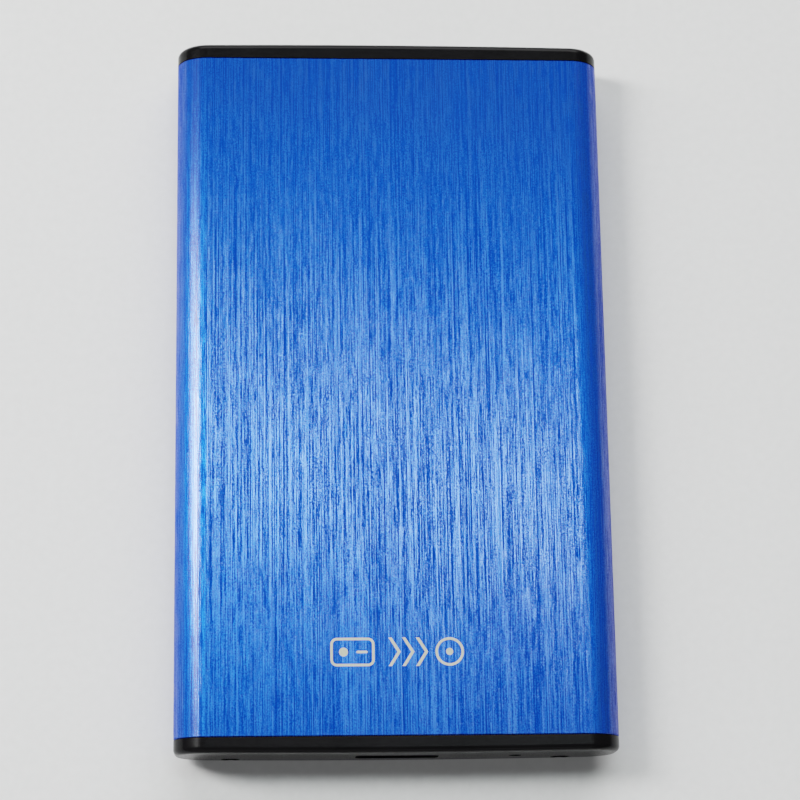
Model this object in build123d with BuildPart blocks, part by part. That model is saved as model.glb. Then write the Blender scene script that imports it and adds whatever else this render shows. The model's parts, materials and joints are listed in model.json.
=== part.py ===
from build123d import *
import os
from math import atan2, cos, degrees, radians, sin, sqrt

# External 2.5 inch hard drive: an extruded, rounded aluminium sleeve closed by two black
# end caps. The front cap (-Y) carries a USB to SATA bridge board, and the drive is plugged
# into that board, so cap, board and drive slide out of the sleeve as one carriage.
# X is across the case, Y along it, Z up. The origin is the centre of the underside.

# ---------------------------------------------------------------- case, in millimetres
case_width = 75.0
case_height = 13.0
case_radius = 5.4
sleeve_length = 120.0
wall = 1.2
mouth_chamfer = 0.2

flange_depth = 2.8
flange_crown = 0.3
flange_edge_radius = 1.0
plug_gap = 0.15
plug_wall = 1.2
front_plug_depth = 12.0
front_lip_depth = 2.5
rear_plug_depth = 3.0
tray_side = 31.0
rib_clearance = 0.3
screw_hole_clearance = 0.2
screw_head_clearance = 0.15

# ------------------------------------------- screws that hold the end caps to the sleeve
channel_x = 28.0
channel_z = 2.2
channel_radius = 0.75
rib_width = 3.0
rib_top = 3.4
cap_screw_radius = 0.7
cap_screw_length = 7.0
cap_screw_head_radius = 1.45
cap_screw_head_height = 0.8
cap_screw_seat = 1.5

# ------------------------------------------------------------------------ bridge board
board_bottom = 3.6
board_thickness = 1.2
board_width = 51.0
board_front = -61.2
board_rear = -46.6
board_screw_x = 22.0
board_screw_y = -54.6

port_centre = (0.0, 6.1)
port_front = -62.3
port_depth = 5.3
port_wall = 0.3
port_gap = 0.3
light_pipe_x = 20.0
light_pipe_radius = 1.0

# --------------------------------------------------------- 2.5 inch drive, 7 mm height
drive_width = 69.85
drive_length = 100.2
drive_height = 7.0
drive_front = -46.2
drive_bottom = 3.6
drive_corner = 2.5
drive_side_wall = 1.5

sata_x = -4.8
sata_z = 7.1
sata_tongue_thickness = 1.2
power_tongue_width = 20.6
signal_tongue_width = 10.3
tongue_spacing = 2.6
pin_pitch = 1.27
power_pins = 15
signal_pins = 7

bearing_radius = 3.0
platter_radius = 32.5
platter_bore = 10.0
platter_thickness = 0.7
pivot_x = -12.0
pivot_distance = 39.5
head_distance = 36.0
parked_radius = 35.0
head_sweep = 32.0

# ------------------------------------------------------------------ worked-out heights
inner_width = case_width - 2 * wall
inner_height = case_height - 2 * wall
inner_radius = case_radius - wall
ceiling_z = case_height - wall
mid_z = case_height / 2
mouth_y = sleeve_length / 2
board_top = board_bottom + board_thickness

drive_top = drive_bottom + drive_height
drive_rear = drive_front + drive_length
drive_mid_y = (drive_front + drive_rear) / 2
label_thickness = 0.1
cover_thickness = 0.5
gasket_thickness = 0.15
cover_top = drive_top - label_thickness
cover_bottom = cover_top - cover_thickness
base_top = cover_bottom - gasket_thickness
cavity_floor = drive_bottom + 2.4
recess_ceiling = cavity_floor - 0.5
drive_board_bottom = drive_bottom + 0.3
drive_board_top = drive_board_bottom + 0.8

spindle = (0.0, drive_rear - 35.0)
pivot_drop = sqrt(pivot_distance**2 - (spindle[0] - pivot_x) ** 2)
pivot = (pivot_x, spindle[1] - pivot_drop)
platter_bottom = cavity_floor + 1.7
platter_top = platter_bottom + platter_thickness

# The angle at the pivot between the line to the spindle and the parked head arm, by the
# law of cosines, and the direction that the parked arm points in.
parked_cosine = (head_distance**2 + pivot_distance**2 - parked_radius**2) / (
    2 * head_distance * pivot_distance
)
parked_angle = degrees(atan2(sqrt(1 - parked_cosine**2), parked_cosine))
spindle_direction = degrees(atan2(spindle[1] - pivot[1], spindle[0] - pivot[0]))
arm_direction = spindle_direction - parked_angle
coil_direction = arm_direction + 180.0

# The circle whose arc, across the case's width, rises by the flange's crown.
crown_circle_radius = ((case_width / 2) ** 2 + flange_crown**2) / (2 * flange_crown)

# ---------------------------------------------------------------------- shared planes
section = Plane((0, 0, mid_z), x_dir=(1, 0, 0), z_dir=(0, -1, 0))
front_mouth = Plane((0, -mouth_y, mid_z), x_dir=(1, 0, 0), z_dir=(0, -1, 0))
rear_mouth = Plane((0, mouth_y, mid_z), x_dir=(-1, 0, 0), z_dir=(0, 1, 0))
arm_plane = Plane(
    (pivot[0], pivot[1], 0),
    x_dir=(cos(radians(arm_direction)), sin(radians(arm_direction)), 0),
    z_dir=(0, 0, 1),
)


# ---------------------------------------------------------------------------- helpers
def screw(shank_radius, shank_length, head_radius, head_height):
    """A cross-recessed screw along Z: its seat at zero, head above, shank below."""
    with BuildPart() as body:
        with BuildSketch():
            Circle(head_radius)
        extrude(amount=head_height)
        fillet(body.edges().group_by(Axis.Z)[-1], 0.4 * head_height)
        with BuildSketch():
            Circle(shank_radius)
        extrude(amount=-shank_length)
        chamfer(body.edges().group_by(Axis.Z)[0], 0.3 * shank_radius)
        with BuildSketch(Plane.XY.offset(head_height)):
            Rectangle(1.2 * head_radius, 0.25 * head_radius)
            Rectangle(0.25 * head_radius, 1.2 * head_radius)
        extrude(amount=-0.5 * head_height, mode=Mode.SUBTRACT)
    return body.part


def bar(low, high):
    """The centre and the size of a block given by its lowest and highest corners."""
    centre = tuple((a + b) / 2 for a, b in zip(low, high))
    size = tuple(b - a for a, b in zip(low, high))
    return centre, size


def block(low, high, mode=Mode.ADD):
    """A block between two corners, in the part that is being built."""
    centre, size = bar(low, high)
    with Locations(centre):
        Box(*size, mode=mode)


def cap_blank(mouth, plug_depth):
    """A crowned flange flush with the sleeve, with a hollow plug that fits inside it."""
    outer = mouth_y + flange_depth
    facing = mouth.z_dir.Y
    with BuildPart() as blank:
        with BuildSketch(mouth):
            RectangleRounded(case_width, case_height, case_radius)
        extrude(amount=flange_depth)
        with BuildSketch(Plane.XY):
            with Locations((0, facing * (outer - crown_circle_radius))):
                Circle(crown_circle_radius)
        extrude(amount=case_height, mode=Mode.INTERSECT)
        outer_face = blank.faces().sort_by(Axis.Y)[0 if facing < 0 else -1]
        fillet(outer_face.edges(), flange_edge_radius)
        with BuildSketch(mouth):
            RectangleRounded(
                inner_width - 2 * plug_gap,
                inner_height - 2 * plug_gap,
                inner_radius - plug_gap,
            )
            RectangleRounded(
                inner_width - 2 * plug_gap - 2 * plug_wall,
                inner_height - 2 * plug_gap - 2 * plug_wall,
                inner_radius - plug_gap - plug_wall,
                mode=Mode.SUBTRACT,
            )
        extrude(amount=-plug_depth)
        # Notches let the plug pass the sleeve's two screw ribs.
        with BuildSketch(mouth):
            with Locations((channel_x, rib_top - mid_z), (-channel_x, rib_top - mid_z)):
                Rectangle(rib_width + 2 * rib_clearance, 2 * rib_top)
        extrude(amount=-plug_depth, mode=Mode.SUBTRACT)
        # Screw holes, with counterbores for the heads.
        screw_points = [(channel_x, channel_z - mid_z), (-channel_x, channel_z - mid_z)]
        with BuildSketch(mouth):
            with Locations(*screw_points):
                Circle(cap_screw_radius + screw_hole_clearance)
        extrude(amount=flange_depth, mode=Mode.SUBTRACT)
        with BuildSketch(mouth.offset(cap_screw_seat)):
            with Locations(*screw_points):
                Circle(cap_screw_head_radius + screw_head_clearance)
        extrude(amount=flange_depth, mode=Mode.SUBTRACT)
    return blank.part


def screw_places(mouth):
    """The two planes, heads outwards, where a cap's screws are seated."""
    seat_y = mouth.z_dir.Y * (mouth_y + cap_screw_seat)
    return [
        Plane((x, seat_y, channel_z), x_dir=(1, 0, 0), z_dir=mouth.z_dir)
        for x in (-channel_x, channel_x)
    ]


def outline(*points):
    """A flat face with straight sides through the given points."""
    with BuildSketch() as face:
        with BuildLine():
            Polyline(*points, close=True)
        make_face()
    return face.sketch


def ring_sector(inner, outer, start, sweep):
    """A flat sector between two radii, round the plane's origin."""
    ends = (start, start + sweep)
    inner_points = [(inner * cos(radians(a)), inner * sin(radians(a))) for a in ends]
    outer_points = [(outer * cos(radians(a)), outer * sin(radians(a))) for a in ends]
    with BuildSketch() as sector:
        with BuildLine():
            CenterArc((0, 0), inner, start, sweep)
            CenterArc((0, 0), outer, start, sweep)
            Line(inner_points[0], outer_points[0])
            Line(inner_points[1], outer_points[1])
        make_face()
    return sector.sketch


pieces = {}

# ============================================================================= sleeve
with BuildPart() as sleeve:
    with BuildSketch(section):
        RectangleRounded(case_width, case_height, case_radius)
        RectangleRounded(inner_width, inner_height, inner_radius, mode=Mode.SUBTRACT)
        rib_height = rib_top - wall / 2
        with Locations((-channel_x, rib_top - mid_z), (channel_x, rib_top - mid_z)):
            Rectangle(rib_width, rib_height, align=(Align.CENTER, Align.MAX))
        with Locations((-channel_x, channel_z - mid_z), (channel_x, channel_z - mid_z)):
            Circle(channel_radius, mode=Mode.SUBTRACT)
    extrude(amount=sleeve_length / 2, both=True)
    end_faces = sleeve.faces().filter_by(Axis.Y)
    chamfer([edge for face in end_faces for edge in face.outer_wire().edges()], mouth_chamfer)
pieces["sleeve"] = sleeve

# A thin sheet on the sleeve's floor keeps the drive's circuit board off the metal.
film_side = 26.0
film_thickness = 0.15
with BuildPart() as insulating_film:
    block((-film_side, -44.0, wall), (film_side, 50.0, wall + film_thickness))
pieces["insulating_film"] = insulating_film

# Two foam pads on the ceiling take up the space over the drive.
foam_thickness = 1.0
foam_width = 56.0
foam_depth = 12.0
with BuildPart() as ceiling_pads:
    with BuildSketch(Plane.XY.offset(ceiling_z - foam_thickness)):
        with Locations((0, -20), (0, 34)):
            RectangleRounded(foam_width, foam_depth, 1.0)
    extrude(amount=foam_thickness)
pieces["ceiling_pads"] = ceiling_pads

# =========================================================================== rear cap
rear_blank = cap_blank(rear_mouth, rear_plug_depth)
with BuildPart() as rear_cap:
    add(rear_blank)
pieces["rear_cap"] = rear_cap

cap_screw = screw(
    cap_screw_radius, cap_screw_length, cap_screw_head_radius, cap_screw_head_height
)
with BuildPart() as rear_cap_screws:
    with Locations(*screw_places(rear_mouth)):
        add(cap_screw)
pieces["rear_cap_screws"] = rear_cap_screws

buffer_side = 24.0
buffer_gap = 0.5
with BuildPart() as rear_buffer:
    block((-buffer_side, drive_rear + buffer_gap, 4.6), (buffer_side, mouth_y, 9.4))
    fillet(rear_buffer.edges().filter_by(Axis.Z).group_by(Axis.Y)[0], 1.0)
pieces["rear_buffer"] = rear_buffer

# ========================================================================== front cap
pocket_wall = 1.4
pocket_side = board_width / 2 + 0.4
pocket_bottom = 2.6
pocket_top = 10.4
tray_floor = wall + plug_gap + 0.2
port_outline = [
    (-6.2, 1.3),
    (6.2, 1.3),
    (6.2, -0.6),
    (5.7, -1.3),
    (2.5, -1.3),
    (2.0, -0.7),
    (2.0, 0.0),
    (1.3, 0.0),
    (1.3, -0.4),
    (0.6, -1.3),
    (-5.5, -1.3),
    (-6.2, -0.4),
]
port_plane = Plane(
    (port_centre[0], port_front, port_centre[1]), x_dir=(1, 0, 0), z_dir=(0, -1, 0)
)
boss_radius = 1.8
boss_hole_depth = 1.9
board_screw_radius = 0.68
board_screw_points = [(-board_screw_x, board_screw_y), (board_screw_x, board_screw_y)]
port_cut_depth = 2.0
bevel_width = 14.0
bevel_height = 4.4

front_blank = cap_blank(front_mouth, front_plug_depth)
with BuildPart() as front_cap:
    add(front_blank)
    # Past a short lip the plug is an open tray, so the board can be laid in from above.
    block(
        (-tray_side, -mouth_y + front_lip_depth, board_top),
        (tray_side, -mouth_y + front_plug_depth, case_height),
        mode=Mode.SUBTRACT,
    )
    block(
        (-pocket_side, -mouth_y - flange_depth + pocket_wall, pocket_bottom),
        (pocket_side, -mouth_y, pocket_top),
        mode=Mode.SUBTRACT,
    )
    # Two bosses stand on the tray's floor under the board.
    with BuildSketch(Plane.XY.offset(tray_floor)):
        with Locations(*board_screw_points):
            Circle(boss_radius)
    extrude(amount=board_bottom - tray_floor)
    with BuildSketch(Plane.XY.offset(board_bottom)):
        with Locations(*board_screw_points):
            Circle(board_screw_radius + 0.02)
    extrude(amount=-boss_hole_depth, mode=Mode.SUBTRACT)
    # The port's opening follows the socket's outline, with a bevel round its outside.
    with BuildSketch(port_plane.offset(-port_cut_depth)):
        add(outline(*port_outline))
        offset(amount=port_gap)
    extrude(amount=port_cut_depth + 1.0, mode=Mode.SUBTRACT)
    with BuildSketch(port_plane.offset(0.1)):
        RectangleRounded(bevel_width, bevel_height, 1.0)
    extrude(amount=1.0, mode=Mode.SUBTRACT)
    with BuildSketch(front_mouth):
        with Locations((light_pipe_x, port_centre[1] - mid_z)):
            Circle(light_pipe_radius + 0.05)
    extrude(amount=flange_depth, mode=Mode.SUBTRACT)
pieces["front_cap"] = front_cap

with BuildPart() as front_cap_screws:
    with Locations(*screw_places(front_mouth)):
        add(cap_screw)
pieces["front_cap_screws"] = front_cap_screws

light_pipe_length = 1.35
light_pipe_plane = Plane(
    (light_pipe_x, board_front, port_centre[1]), x_dir=(1, 0, 0), z_dir=(0, -1, 0)
)
with BuildPart() as light_pipe:
    with BuildSketch(light_pipe_plane):
        Circle(light_pipe_radius)
    extrude(amount=light_pipe_length)
    fillet(light_pipe.edges().group_by(Axis.Y)[0], 0.3)
pieces["light_pipe"] = light_pipe

# ======================================================================= bridge board
with BuildPart() as bridge_board:
    with BuildSketch(Plane.XY.offset(board_bottom)):
        with Locations((0, (board_front + board_rear) / 2)):
            RectangleRounded(board_width, board_rear - board_front, 0.8)
        with Locations(*board_screw_points):
            Circle(board_screw_radius + 0.15, mode=Mode.SUBTRACT)
    extrude(amount=board_thickness)
pieces["bridge_board"] = bridge_board

board_screw = screw(board_screw_radius, 2.9, 1.35, 0.7)
with BuildPart() as board_screws:
    with Locations(*[(x, y, board_top) for x, y in board_screw_points]):
        add(board_screw)
pieces["board_screws"] = board_screws

# USB 3.0 micro-B socket: a folded steel shell round two contact tongues.
socket_back = 0.8
foot_x = 6.1
foot_half_width = 0.9
foot_half_depth = 0.4
foot_thickness = 0.2
with BuildPart() as usb_socket_shell:
    with BuildSketch(port_plane):
        add(outline(*port_outline))
        offset(amount=-port_wall, kind=Kind.INTERSECTION, mode=Mode.SUBTRACT)
    extrude(amount=-port_depth)
    # Solder feet on both sides, on the board.
    for side in (-1, 1):
        for foot_y in (-60.4, -57.8):
            block(
                (side * foot_x - foot_half_width, foot_y - foot_half_depth, board_top),
                (
                    side * foot_x + foot_half_width,
                    foot_y + foot_half_depth,
                    board_top + foot_thickness,
                ),
            )
    block(
        (-6.0, port_front + port_depth - 2.0, board_top),
        (6.0, port_front + port_depth - 1.6, board_top + 0.25),
    )
pieces["usb_socket_shell"] = usb_socket_shell

tongue_low = port_centre[1] + 0.1
tongue_high = port_centre[1] + 0.7
tongue_inset = 0.5
socket_rear = port_front + port_depth
with BuildPart() as usb_socket_insulator:
    with BuildSketch(port_plane.offset(-port_depth)):
        add(outline(*port_outline))
        offset(amount=-port_wall - 0.02, kind=Kind.INTERSECTION, mode=Mode.REPLACE)
    extrude(amount=socket_back)
    for low_x, high_x in ((-4.9, 0.1), (2.75, 5.4)):
        block(
            (low_x, port_front + tongue_inset, tongue_low),
            (high_x, socket_rear - tongue_inset, tongue_high),
        )
pieces["usb_socket_insulator"] = usb_socket_insulator

usb_pin_xs = [-3.7 + 0.65 * i for i in range(5)] + [3.1 + 0.48 * i for i in range(5)]
usb_pin_side = 0.12
with BuildPart() as usb_socket_contacts:
    for pin_x in usb_pin_xs:
        block(
            (pin_x - usb_pin_side, port_front + 0.7, tongue_low - 0.08),
            (pin_x + usb_pin_side, socket_rear - socket_back, tongue_low),
        )
        block(
            (pin_x - usb_pin_side, socket_rear + 0.05, board_top),
            (pin_x + usb_pin_side, socket_rear + 1.0, board_top + 0.12),
        )
pieces["usb_socket_contacts"] = usb_socket_contacts

# ------------------------------------------------ SATA socket that the drive plugs into
tongues_width = power_tongue_width + tongue_spacing + signal_tongue_width
power_low_x = sata_x - tongues_width / 2
signal_low_x = power_low_x + power_tongue_width + tongue_spacing
tongue_spans = [
    (power_low_x, power_low_x + power_tongue_width),
    (signal_low_x, signal_low_x + signal_tongue_width),
]
slot_gap = 0.15
housing_side = 19.3
housing_front = -51.2
housing_rear = drive_front - 0.2
housing_top = 9.4
nose_side = 17.6
nose_half_height = 1.5
nose_depth = 4.3
ear_x = 19.9
ear_half_width = 0.7
with BuildPart() as sata_socket:
    block(
        (sata_x - housing_side, housing_front, board_top),
        (sata_x + housing_side, housing_rear, housing_top),
    )
    chamfer(sata_socket.edges().filter_by(Axis.Y).group_by(Axis.Z)[-1], 0.6)
    block(
        (sata_x - nose_side, housing_rear, sata_z - nose_half_height),
        (sata_x + nose_side, drive_front + nose_depth, sata_z + nose_half_height),
    )
    for low_x, high_x in tongue_spans:
        block(
            (
                low_x - slot_gap,
                drive_front - 1.0,
                sata_z - sata_tongue_thickness / 2 - slot_gap,
            ),
            (
                high_x + slot_gap,
                drive_front + nose_depth,
                sata_z + sata_tongue_thickness / 2 + slot_gap,
            ),
            mode=Mode.SUBTRACT,
        )
    # Fixing ears at both ends of the housing.
    for side in (-1, 1):
        block(
            (sata_x + side * ear_x - ear_half_width, housing_front + 0.6, board_top),
            (sata_x + side * ear_x + ear_half_width, housing_rear - 1.0, board_top + 1.4),
        )
pieces["sata_socket"] = sata_socket

power_pin_xs = [
    power_low_x + (power_tongue_width - (power_pins - 1) * pin_pitch) / 2 + pin_pitch * i
    for i in range(power_pins)
]
signal_pin_xs = [
    signal_low_x + (signal_tongue_width - (signal_pins - 1) * pin_pitch) / 2 + pin_pitch * i
    for i in range(signal_pins)
]
with BuildPart() as sata_socket_contacts:
    for pin_x in power_pin_xs + signal_pin_xs:
        block(
            (pin_x - 0.25, housing_front - 1.1, board_top),
            (pin_x + 0.25, housing_front - 0.02, board_top + 0.15),
        )
pieces["sata_socket_contacts"] = sata_socket_contacts


# --------------------------------------------------------------- parts on the board
def leaded_chip(centre, body_size, leads, pitch, seat):
    """A moulded chip with gull-wing leads along both long sides, on the board."""
    width, depth, height = body_size
    with BuildPart() as chip:
        x, y = centre
        block(
            (x - width / 2, y - depth / 2, seat + 0.1),
            (x + width / 2, y + depth / 2, seat + height),
        )
        chamfer(chip.edges().group_by(Axis.Z)[-1], 0.12)
        for i in range(leads):
            lead_x = x + (i - (leads - 1) / 2) * pitch
            for side in (-1, 1):
                inner = y + side * (depth / 2 - 0.1)
                outer = y + side * (depth / 2 + 0.7)
                block(
                    (lead_x - 0.18, min(inner, outer), seat),
                    (lead_x + 0.18, max(inner, outer), seat + 0.3),
                )
    return chip.part


bridge_chip_top = board_top + 0.85
with BuildPart() as bridge_chip:
    block((-17.0, -58.6, board_top), (-10.0, -52.9, bridge_chip_top))
    chamfer(bridge_chip.edges().group_by(Axis.Z)[-1], 0.1)
    with Locations((-16.2, -53.7, bridge_chip_top)):
        Cylinder(0.3, 0.1, mode=Mode.SUBTRACT)
pieces["bridge_chip"] = bridge_chip

flash_part = leaded_chip((12.6, -55.6), (4.9, 3.0, 1.4), 4, 1.27, board_top)
with BuildPart() as flash_chip:
    add(flash_part)
pieces["flash_chip"] = flash_chip

with BuildPart() as crystal:
    block((-20.9, -59.6, board_top), (-18.3, -57.6, board_top + 0.8))
    fillet(crystal.edges().filter_by(Axis.Z), 0.35)
pieces["crystal"] = crystal

with BuildPart() as power_inductor:
    block((16.4, -57.9, board_top), (19.4, -54.9, board_top + 1.5))
    fillet(power_inductor.edges().filter_by(Axis.Z), 0.6)
    chamfer(power_inductor.edges().group_by(Axis.Z)[-1], 0.2)
pieces["power_inductor"] = power_inductor

capacitor_places = [(-8.6, -56.6), (-8.6, -55.2), (-8.6, -53.8), (8.4, -57.4), (8.4, -55.9)]
capacitor_places += [(8.4, -54.4), (17.2, -53.4), (19.4, -53.4)]
with BuildPart() as capacitors:
    for x, y in capacitor_places:
        block((x - 0.5, y - 0.4, board_top), (x + 0.5, y + 0.4, board_top + 0.75))
pieces["capacitors"] = capacitors

resistor_places = [(-18.6, -56.2), (-18.6, -55.0), (-18.6, -53.8), (-5.4, -54.6)]
resistor_places += [(-3.6, -54.6), (-1.8, -54.6), (0.0, -54.6), (1.8, -54.6), (3.6, -54.6)]
with BuildPart() as resistors:
    for x, y in resistor_places:
        block((x - 0.3, y - 0.5, board_top), (x + 0.3, y + 0.5, board_top + 0.35))
pieces["resistors"] = resistors

with BuildPart() as status_led:
    block((19.2, -60.9, board_top), (20.8, -60.0, board_top + 0.7))
pieces["status_led"] = status_led

# ===================================================================== drive, casting
bottom_hole_x = 30.86
hole_ys = [drive_front + 14.0, drive_front + 90.6]
threaded_hole_radius = 1.25
recess_side = 28.6
recess_rear = -8.0
notch_side = 24.6
notch_depth = 6.9
post_radius = 2.0
relief_rings = [(24.0, 22.8), (13.0, 11.6), (10.0, 7.0)]
relief_depth = 0.5
threaded_hole_depth = 3.0
cover_screw_length = 2.8
cavity_front = -38.0
corner_block = (30.0, -30.5)
side_boss = (32.0, -6.0)
cover_screw_radius = 0.8
cover_screw_sink = 0.35
cover_screw_points = [
    (side * x, y) for side in (-1, 1) for x, y in ((32.2, -36.0), (32.0, -6.0), (31.4, 50.4))
]
drive_board_screw_points = [(side * 25.6, y) for side in (-1, 1) for y in (-11.4, -36.4)]


def cavity_outline():
    """The outline of the chamber: round for the disc, square for the head arm."""
    side = drive_width / 2 - drive_side_wall
    with Locations(spindle):
        Circle(platter_radius + 1.0)
    with Locations((0, (corner_block[1] + spindle[1]) / 2 - 10)):
        Rectangle(2 * side, spindle[1] - 20 - corner_block[1])
    with Locations((0, (cavity_front + corner_block[1]) / 2 + 0.5)):
        Rectangle(2 * corner_block[0], corner_block[1] - cavity_front + 1.0)
    with Locations(side_boss, (-side_boss[0], side_boss[1])):
        Circle(2.4, mode=Mode.SUBTRACT)


with BuildPart() as drive_base:
    with BuildSketch(Plane.XY.offset(drive_bottom)):
        with Locations((0, drive_mid_y)):
            RectangleRounded(drive_width, drive_length, drive_corner)
    extrude(amount=base_top - drive_bottom)
    with BuildSketch(Plane.XY.offset(cavity_floor)):
        cavity_outline()
    extrude(amount=base_top - cavity_floor, mode=Mode.SUBTRACT)
    # A recess under the front half holds the drive's circuit board.
    block(
        (-recess_side, drive_front - 1.0, drive_bottom),
        (recess_side, recess_rear, recess_ceiling),
        mode=Mode.SUBTRACT,
    )
    block(
        (-notch_side, drive_front - 1.0, drive_bottom),
        (notch_side, drive_front + notch_depth, base_top - 0.35),
        mode=Mode.SUBTRACT,
    )
    with BuildSketch(Plane.XY.offset(drive_board_top)):
        with Locations(*drive_board_screw_points):
            Circle(post_radius)
    extrude(amount=recess_ceiling - drive_board_top + 0.1)
    with BuildSketch(Plane.XY.offset(drive_board_top)):
        with Locations(*drive_board_screw_points):
            Circle(board_screw_radius + 0.04)
    extrude(amount=1.1, mode=Mode.SUBTRACT)
    # Threaded holes of the standard pattern, in the underside and in both sides.
    with BuildSketch(Plane.XY.offset(drive_bottom)):
        with Locations(*[(s * bottom_hole_x, y) for s in (-1, 1) for y in hole_ys]):
            Circle(threaded_hole_radius)
    extrude(amount=2.2, mode=Mode.SUBTRACT)
    for side in (-1, 1):
        with BuildSketch(Plane((side * drive_width / 2, 0, drive_bottom + 3.0), z_dir=(side, 0, 0))):
            with Locations(*[(side * y, 0) for y in hole_ys]):
                Circle(threaded_hole_radius)
        extrude(amount=-threaded_hole_depth, mode=Mode.SUBTRACT)
    # Cover screw holes, from the top.
    with BuildSketch(Plane.XY.offset(base_top)):
        with Locations(*cover_screw_points):
            Circle(cover_screw_radius + 0.05)
    extrude(amount=-cover_screw_length - 0.1, mode=Mode.SUBTRACT)
    # The spindle bearing's seat.
    with BuildSketch(Plane.XY.offset(drive_bottom)):
        with Locations(spindle):
            Circle(bearing_radius + 0.02)
    extrude(amount=cavity_floor - drive_bottom, mode=Mode.SUBTRACT)
    # Shallow relief rings round the motor, seen from below.
    with BuildSketch(Plane.XY.offset(drive_bottom)):
        with Locations(spindle):
            for outer_radius, inner_radius in relief_rings:
                Circle(outer_radius)
                Circle(inner_radius, mode=Mode.SUBTRACT)
    extrude(amount=relief_depth, mode=Mode.SUBTRACT)
pieces["drive_base"] = drive_base

gasket_rear = drive_rear - 0.9
gasket_front = drive_front + notch_depth + 0.6
with BuildPart() as cover_gasket:
    with BuildSketch(Plane.XY.offset(base_top)):
        with Locations((0, (gasket_front + gasket_rear) / 2)):
            RectangleRounded(drive_width - 1.6, gasket_rear - gasket_front, 2.0)
        with Locations(*cover_screw_points):
            Circle(cover_screw_radius + 0.2, mode=Mode.SUBTRACT)
    extrude(amount=gasket_thickness)
    with BuildSketch(Plane.XY.offset(base_top)):
        cavity_outline()
    extrude(amount=gasket_thickness, mode=Mode.SUBTRACT)
pieces["cover_gasket"] = cover_gasket

stamped_ring_radii = (31.5, 30.3)
stamped_field_depth = 14.0
stamping = 0.15
with BuildPart() as drive_cover:
    with BuildSketch(Plane.XY.offset(cover_bottom)):
        with Locations((0, drive_mid_y)):
            RectangleRounded(drive_width - 1.0, drive_length - 1.0, drive_corner)
        with Locations(*cover_screw_points):
            Circle(cover_screw_radius + 0.15, mode=Mode.SUBTRACT)
    extrude(amount=cover_thickness)
    with BuildSketch(Plane.XY.offset(cover_top)):
        with Locations(*cover_screw_points):
            Circle(1.75)
    extrude(amount=-cover_screw_sink, mode=Mode.SUBTRACT)
    # A stamped ring over the disc and a sunk field over the head arm.
    with BuildSketch(Plane.XY.offset(cover_top)):
        with Locations(spindle):
            Circle(stamped_ring_radii[0])
            Circle(stamped_ring_radii[1], mode=Mode.SUBTRACT)
        with Locations((-14, -27)):
            RectangleRounded(24.0, stamped_field_depth, 3.0)
        with Locations((18, -27)):
            RectangleRounded(16.0, stamped_field_depth, 3.0)
    extrude(amount=-stamping, mode=Mode.SUBTRACT)
pieces["drive_cover"] = drive_cover

cover_screw = screw(cover_screw_radius, cover_screw_length, 1.6, 0.33)
with BuildPart() as cover_screws:
    with Locations(*[(x, y, cover_top - cover_screw_sink) for x, y in cover_screw_points]):
        add(cover_screw)
pieces["cover_screws"] = cover_screws

with BuildPart() as drive_label:
    with BuildSketch(Plane.XY.offset(cover_top)):
        with Locations((0, spindle[1])):
            RectangleRounded(50.0, 40.0, 1.5)
    extrude(amount=label_thickness)
pieces["drive_label"] = drive_label

# ------------------------------------------------------------ drive, its circuit board
with BuildPart() as drive_board:
    with BuildSketch(Plane.XY.offset(drive_board_bottom)):
        with Locations((0, (drive_front + 0.5 + recess_rear - 0.4) / 2)):
            RectangleRounded(
                2 * recess_side - 0.8, recess_rear - 0.4 - drive_front - 0.5, 1.0
            )
        with Locations((0, recess_rear)):
            Circle(7.0, mode=Mode.SUBTRACT)
        with Locations(*drive_board_screw_points):
            Circle(0.85, mode=Mode.SUBTRACT)
    extrude(amount=drive_board_top - drive_board_bottom)
pieces["drive_board"] = drive_board

drive_board_screw = screw(board_screw_radius, 1.75, 1.35, 0.28)
with BuildPart() as drive_board_screws:
    with Locations(
        *[
            Plane((x, y, drive_board_bottom), z_dir=(0, 0, -1))
            for x, y in drive_board_screw_points
        ]
    ):
        add(drive_board_screw)
pieces["drive_board_screws"] = drive_board_screws

with BuildPart() as drive_board_chips:
    for centre, size in (((-9.0, -25.0), 9.0), ((9.0, -21.0), 6.0), ((9.0, -31.0), 7.0)):
        x, y = centre
        block(
            (x - size / 2, y - size / 2, drive_board_top),
            (x + size / 2, y + size / 2, drive_board_top + 0.65),
        )
pieces["drive_board_chips"] = drive_board_chips

plug_seat = drive_board_top + 0.02
plug_side = 19.2
plug_depth = 6.5
plug_top = 9.3
bay_side = nose_side + 0.3
bay_half_height = nose_half_height + 0.25
bay_depth = 5.0
with BuildPart() as sata_plug:
    block(
        (sata_x - plug_side, drive_front, plug_seat),
        (sata_x + plug_side, drive_front + plug_depth, plug_top),
    )
    block(
        (sata_x - bay_side, drive_front, sata_z - bay_half_height),
        (sata_x + bay_side, drive_front + bay_depth, sata_z + bay_half_height),
        mode=Mode.SUBTRACT,
    )
    for low_x, high_x in tongue_spans:
        block(
            (low_x, drive_front + 0.3, sata_z - sata_tongue_thickness / 2),
            (high_x, drive_front + 5.2, sata_z + sata_tongue_thickness / 2),
        )
pieces["sata_plug"] = sata_plug

with BuildPart() as sata_plug_contacts:
    pad_high = sata_z - sata_tongue_thickness / 2
    for pin_x in power_pin_xs + signal_pin_xs:
        block(
            (pin_x - 0.35, drive_front + 0.8, pad_high - 0.06),
            (pin_x + 0.35, drive_front + 4.9, pad_high),
        )
pieces["sata_plug_contacts"] = sata_plug_contacts

with BuildPart() as jumper_block:
    block((17.4, drive_front + 2.4, plug_seat), (23.6, drive_front + 5.0, 8.0))
    for pin_x in (19.5, 21.5):
        for pin_z in (5.5, 7.2):
            block(
                (pin_x - 0.25, drive_front + 0.4, pin_z - 0.25),
                (pin_x + 0.25, drive_front + 2.6, pin_z + 0.25),
            )
pieces["jumper_block"] = jumper_block

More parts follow.
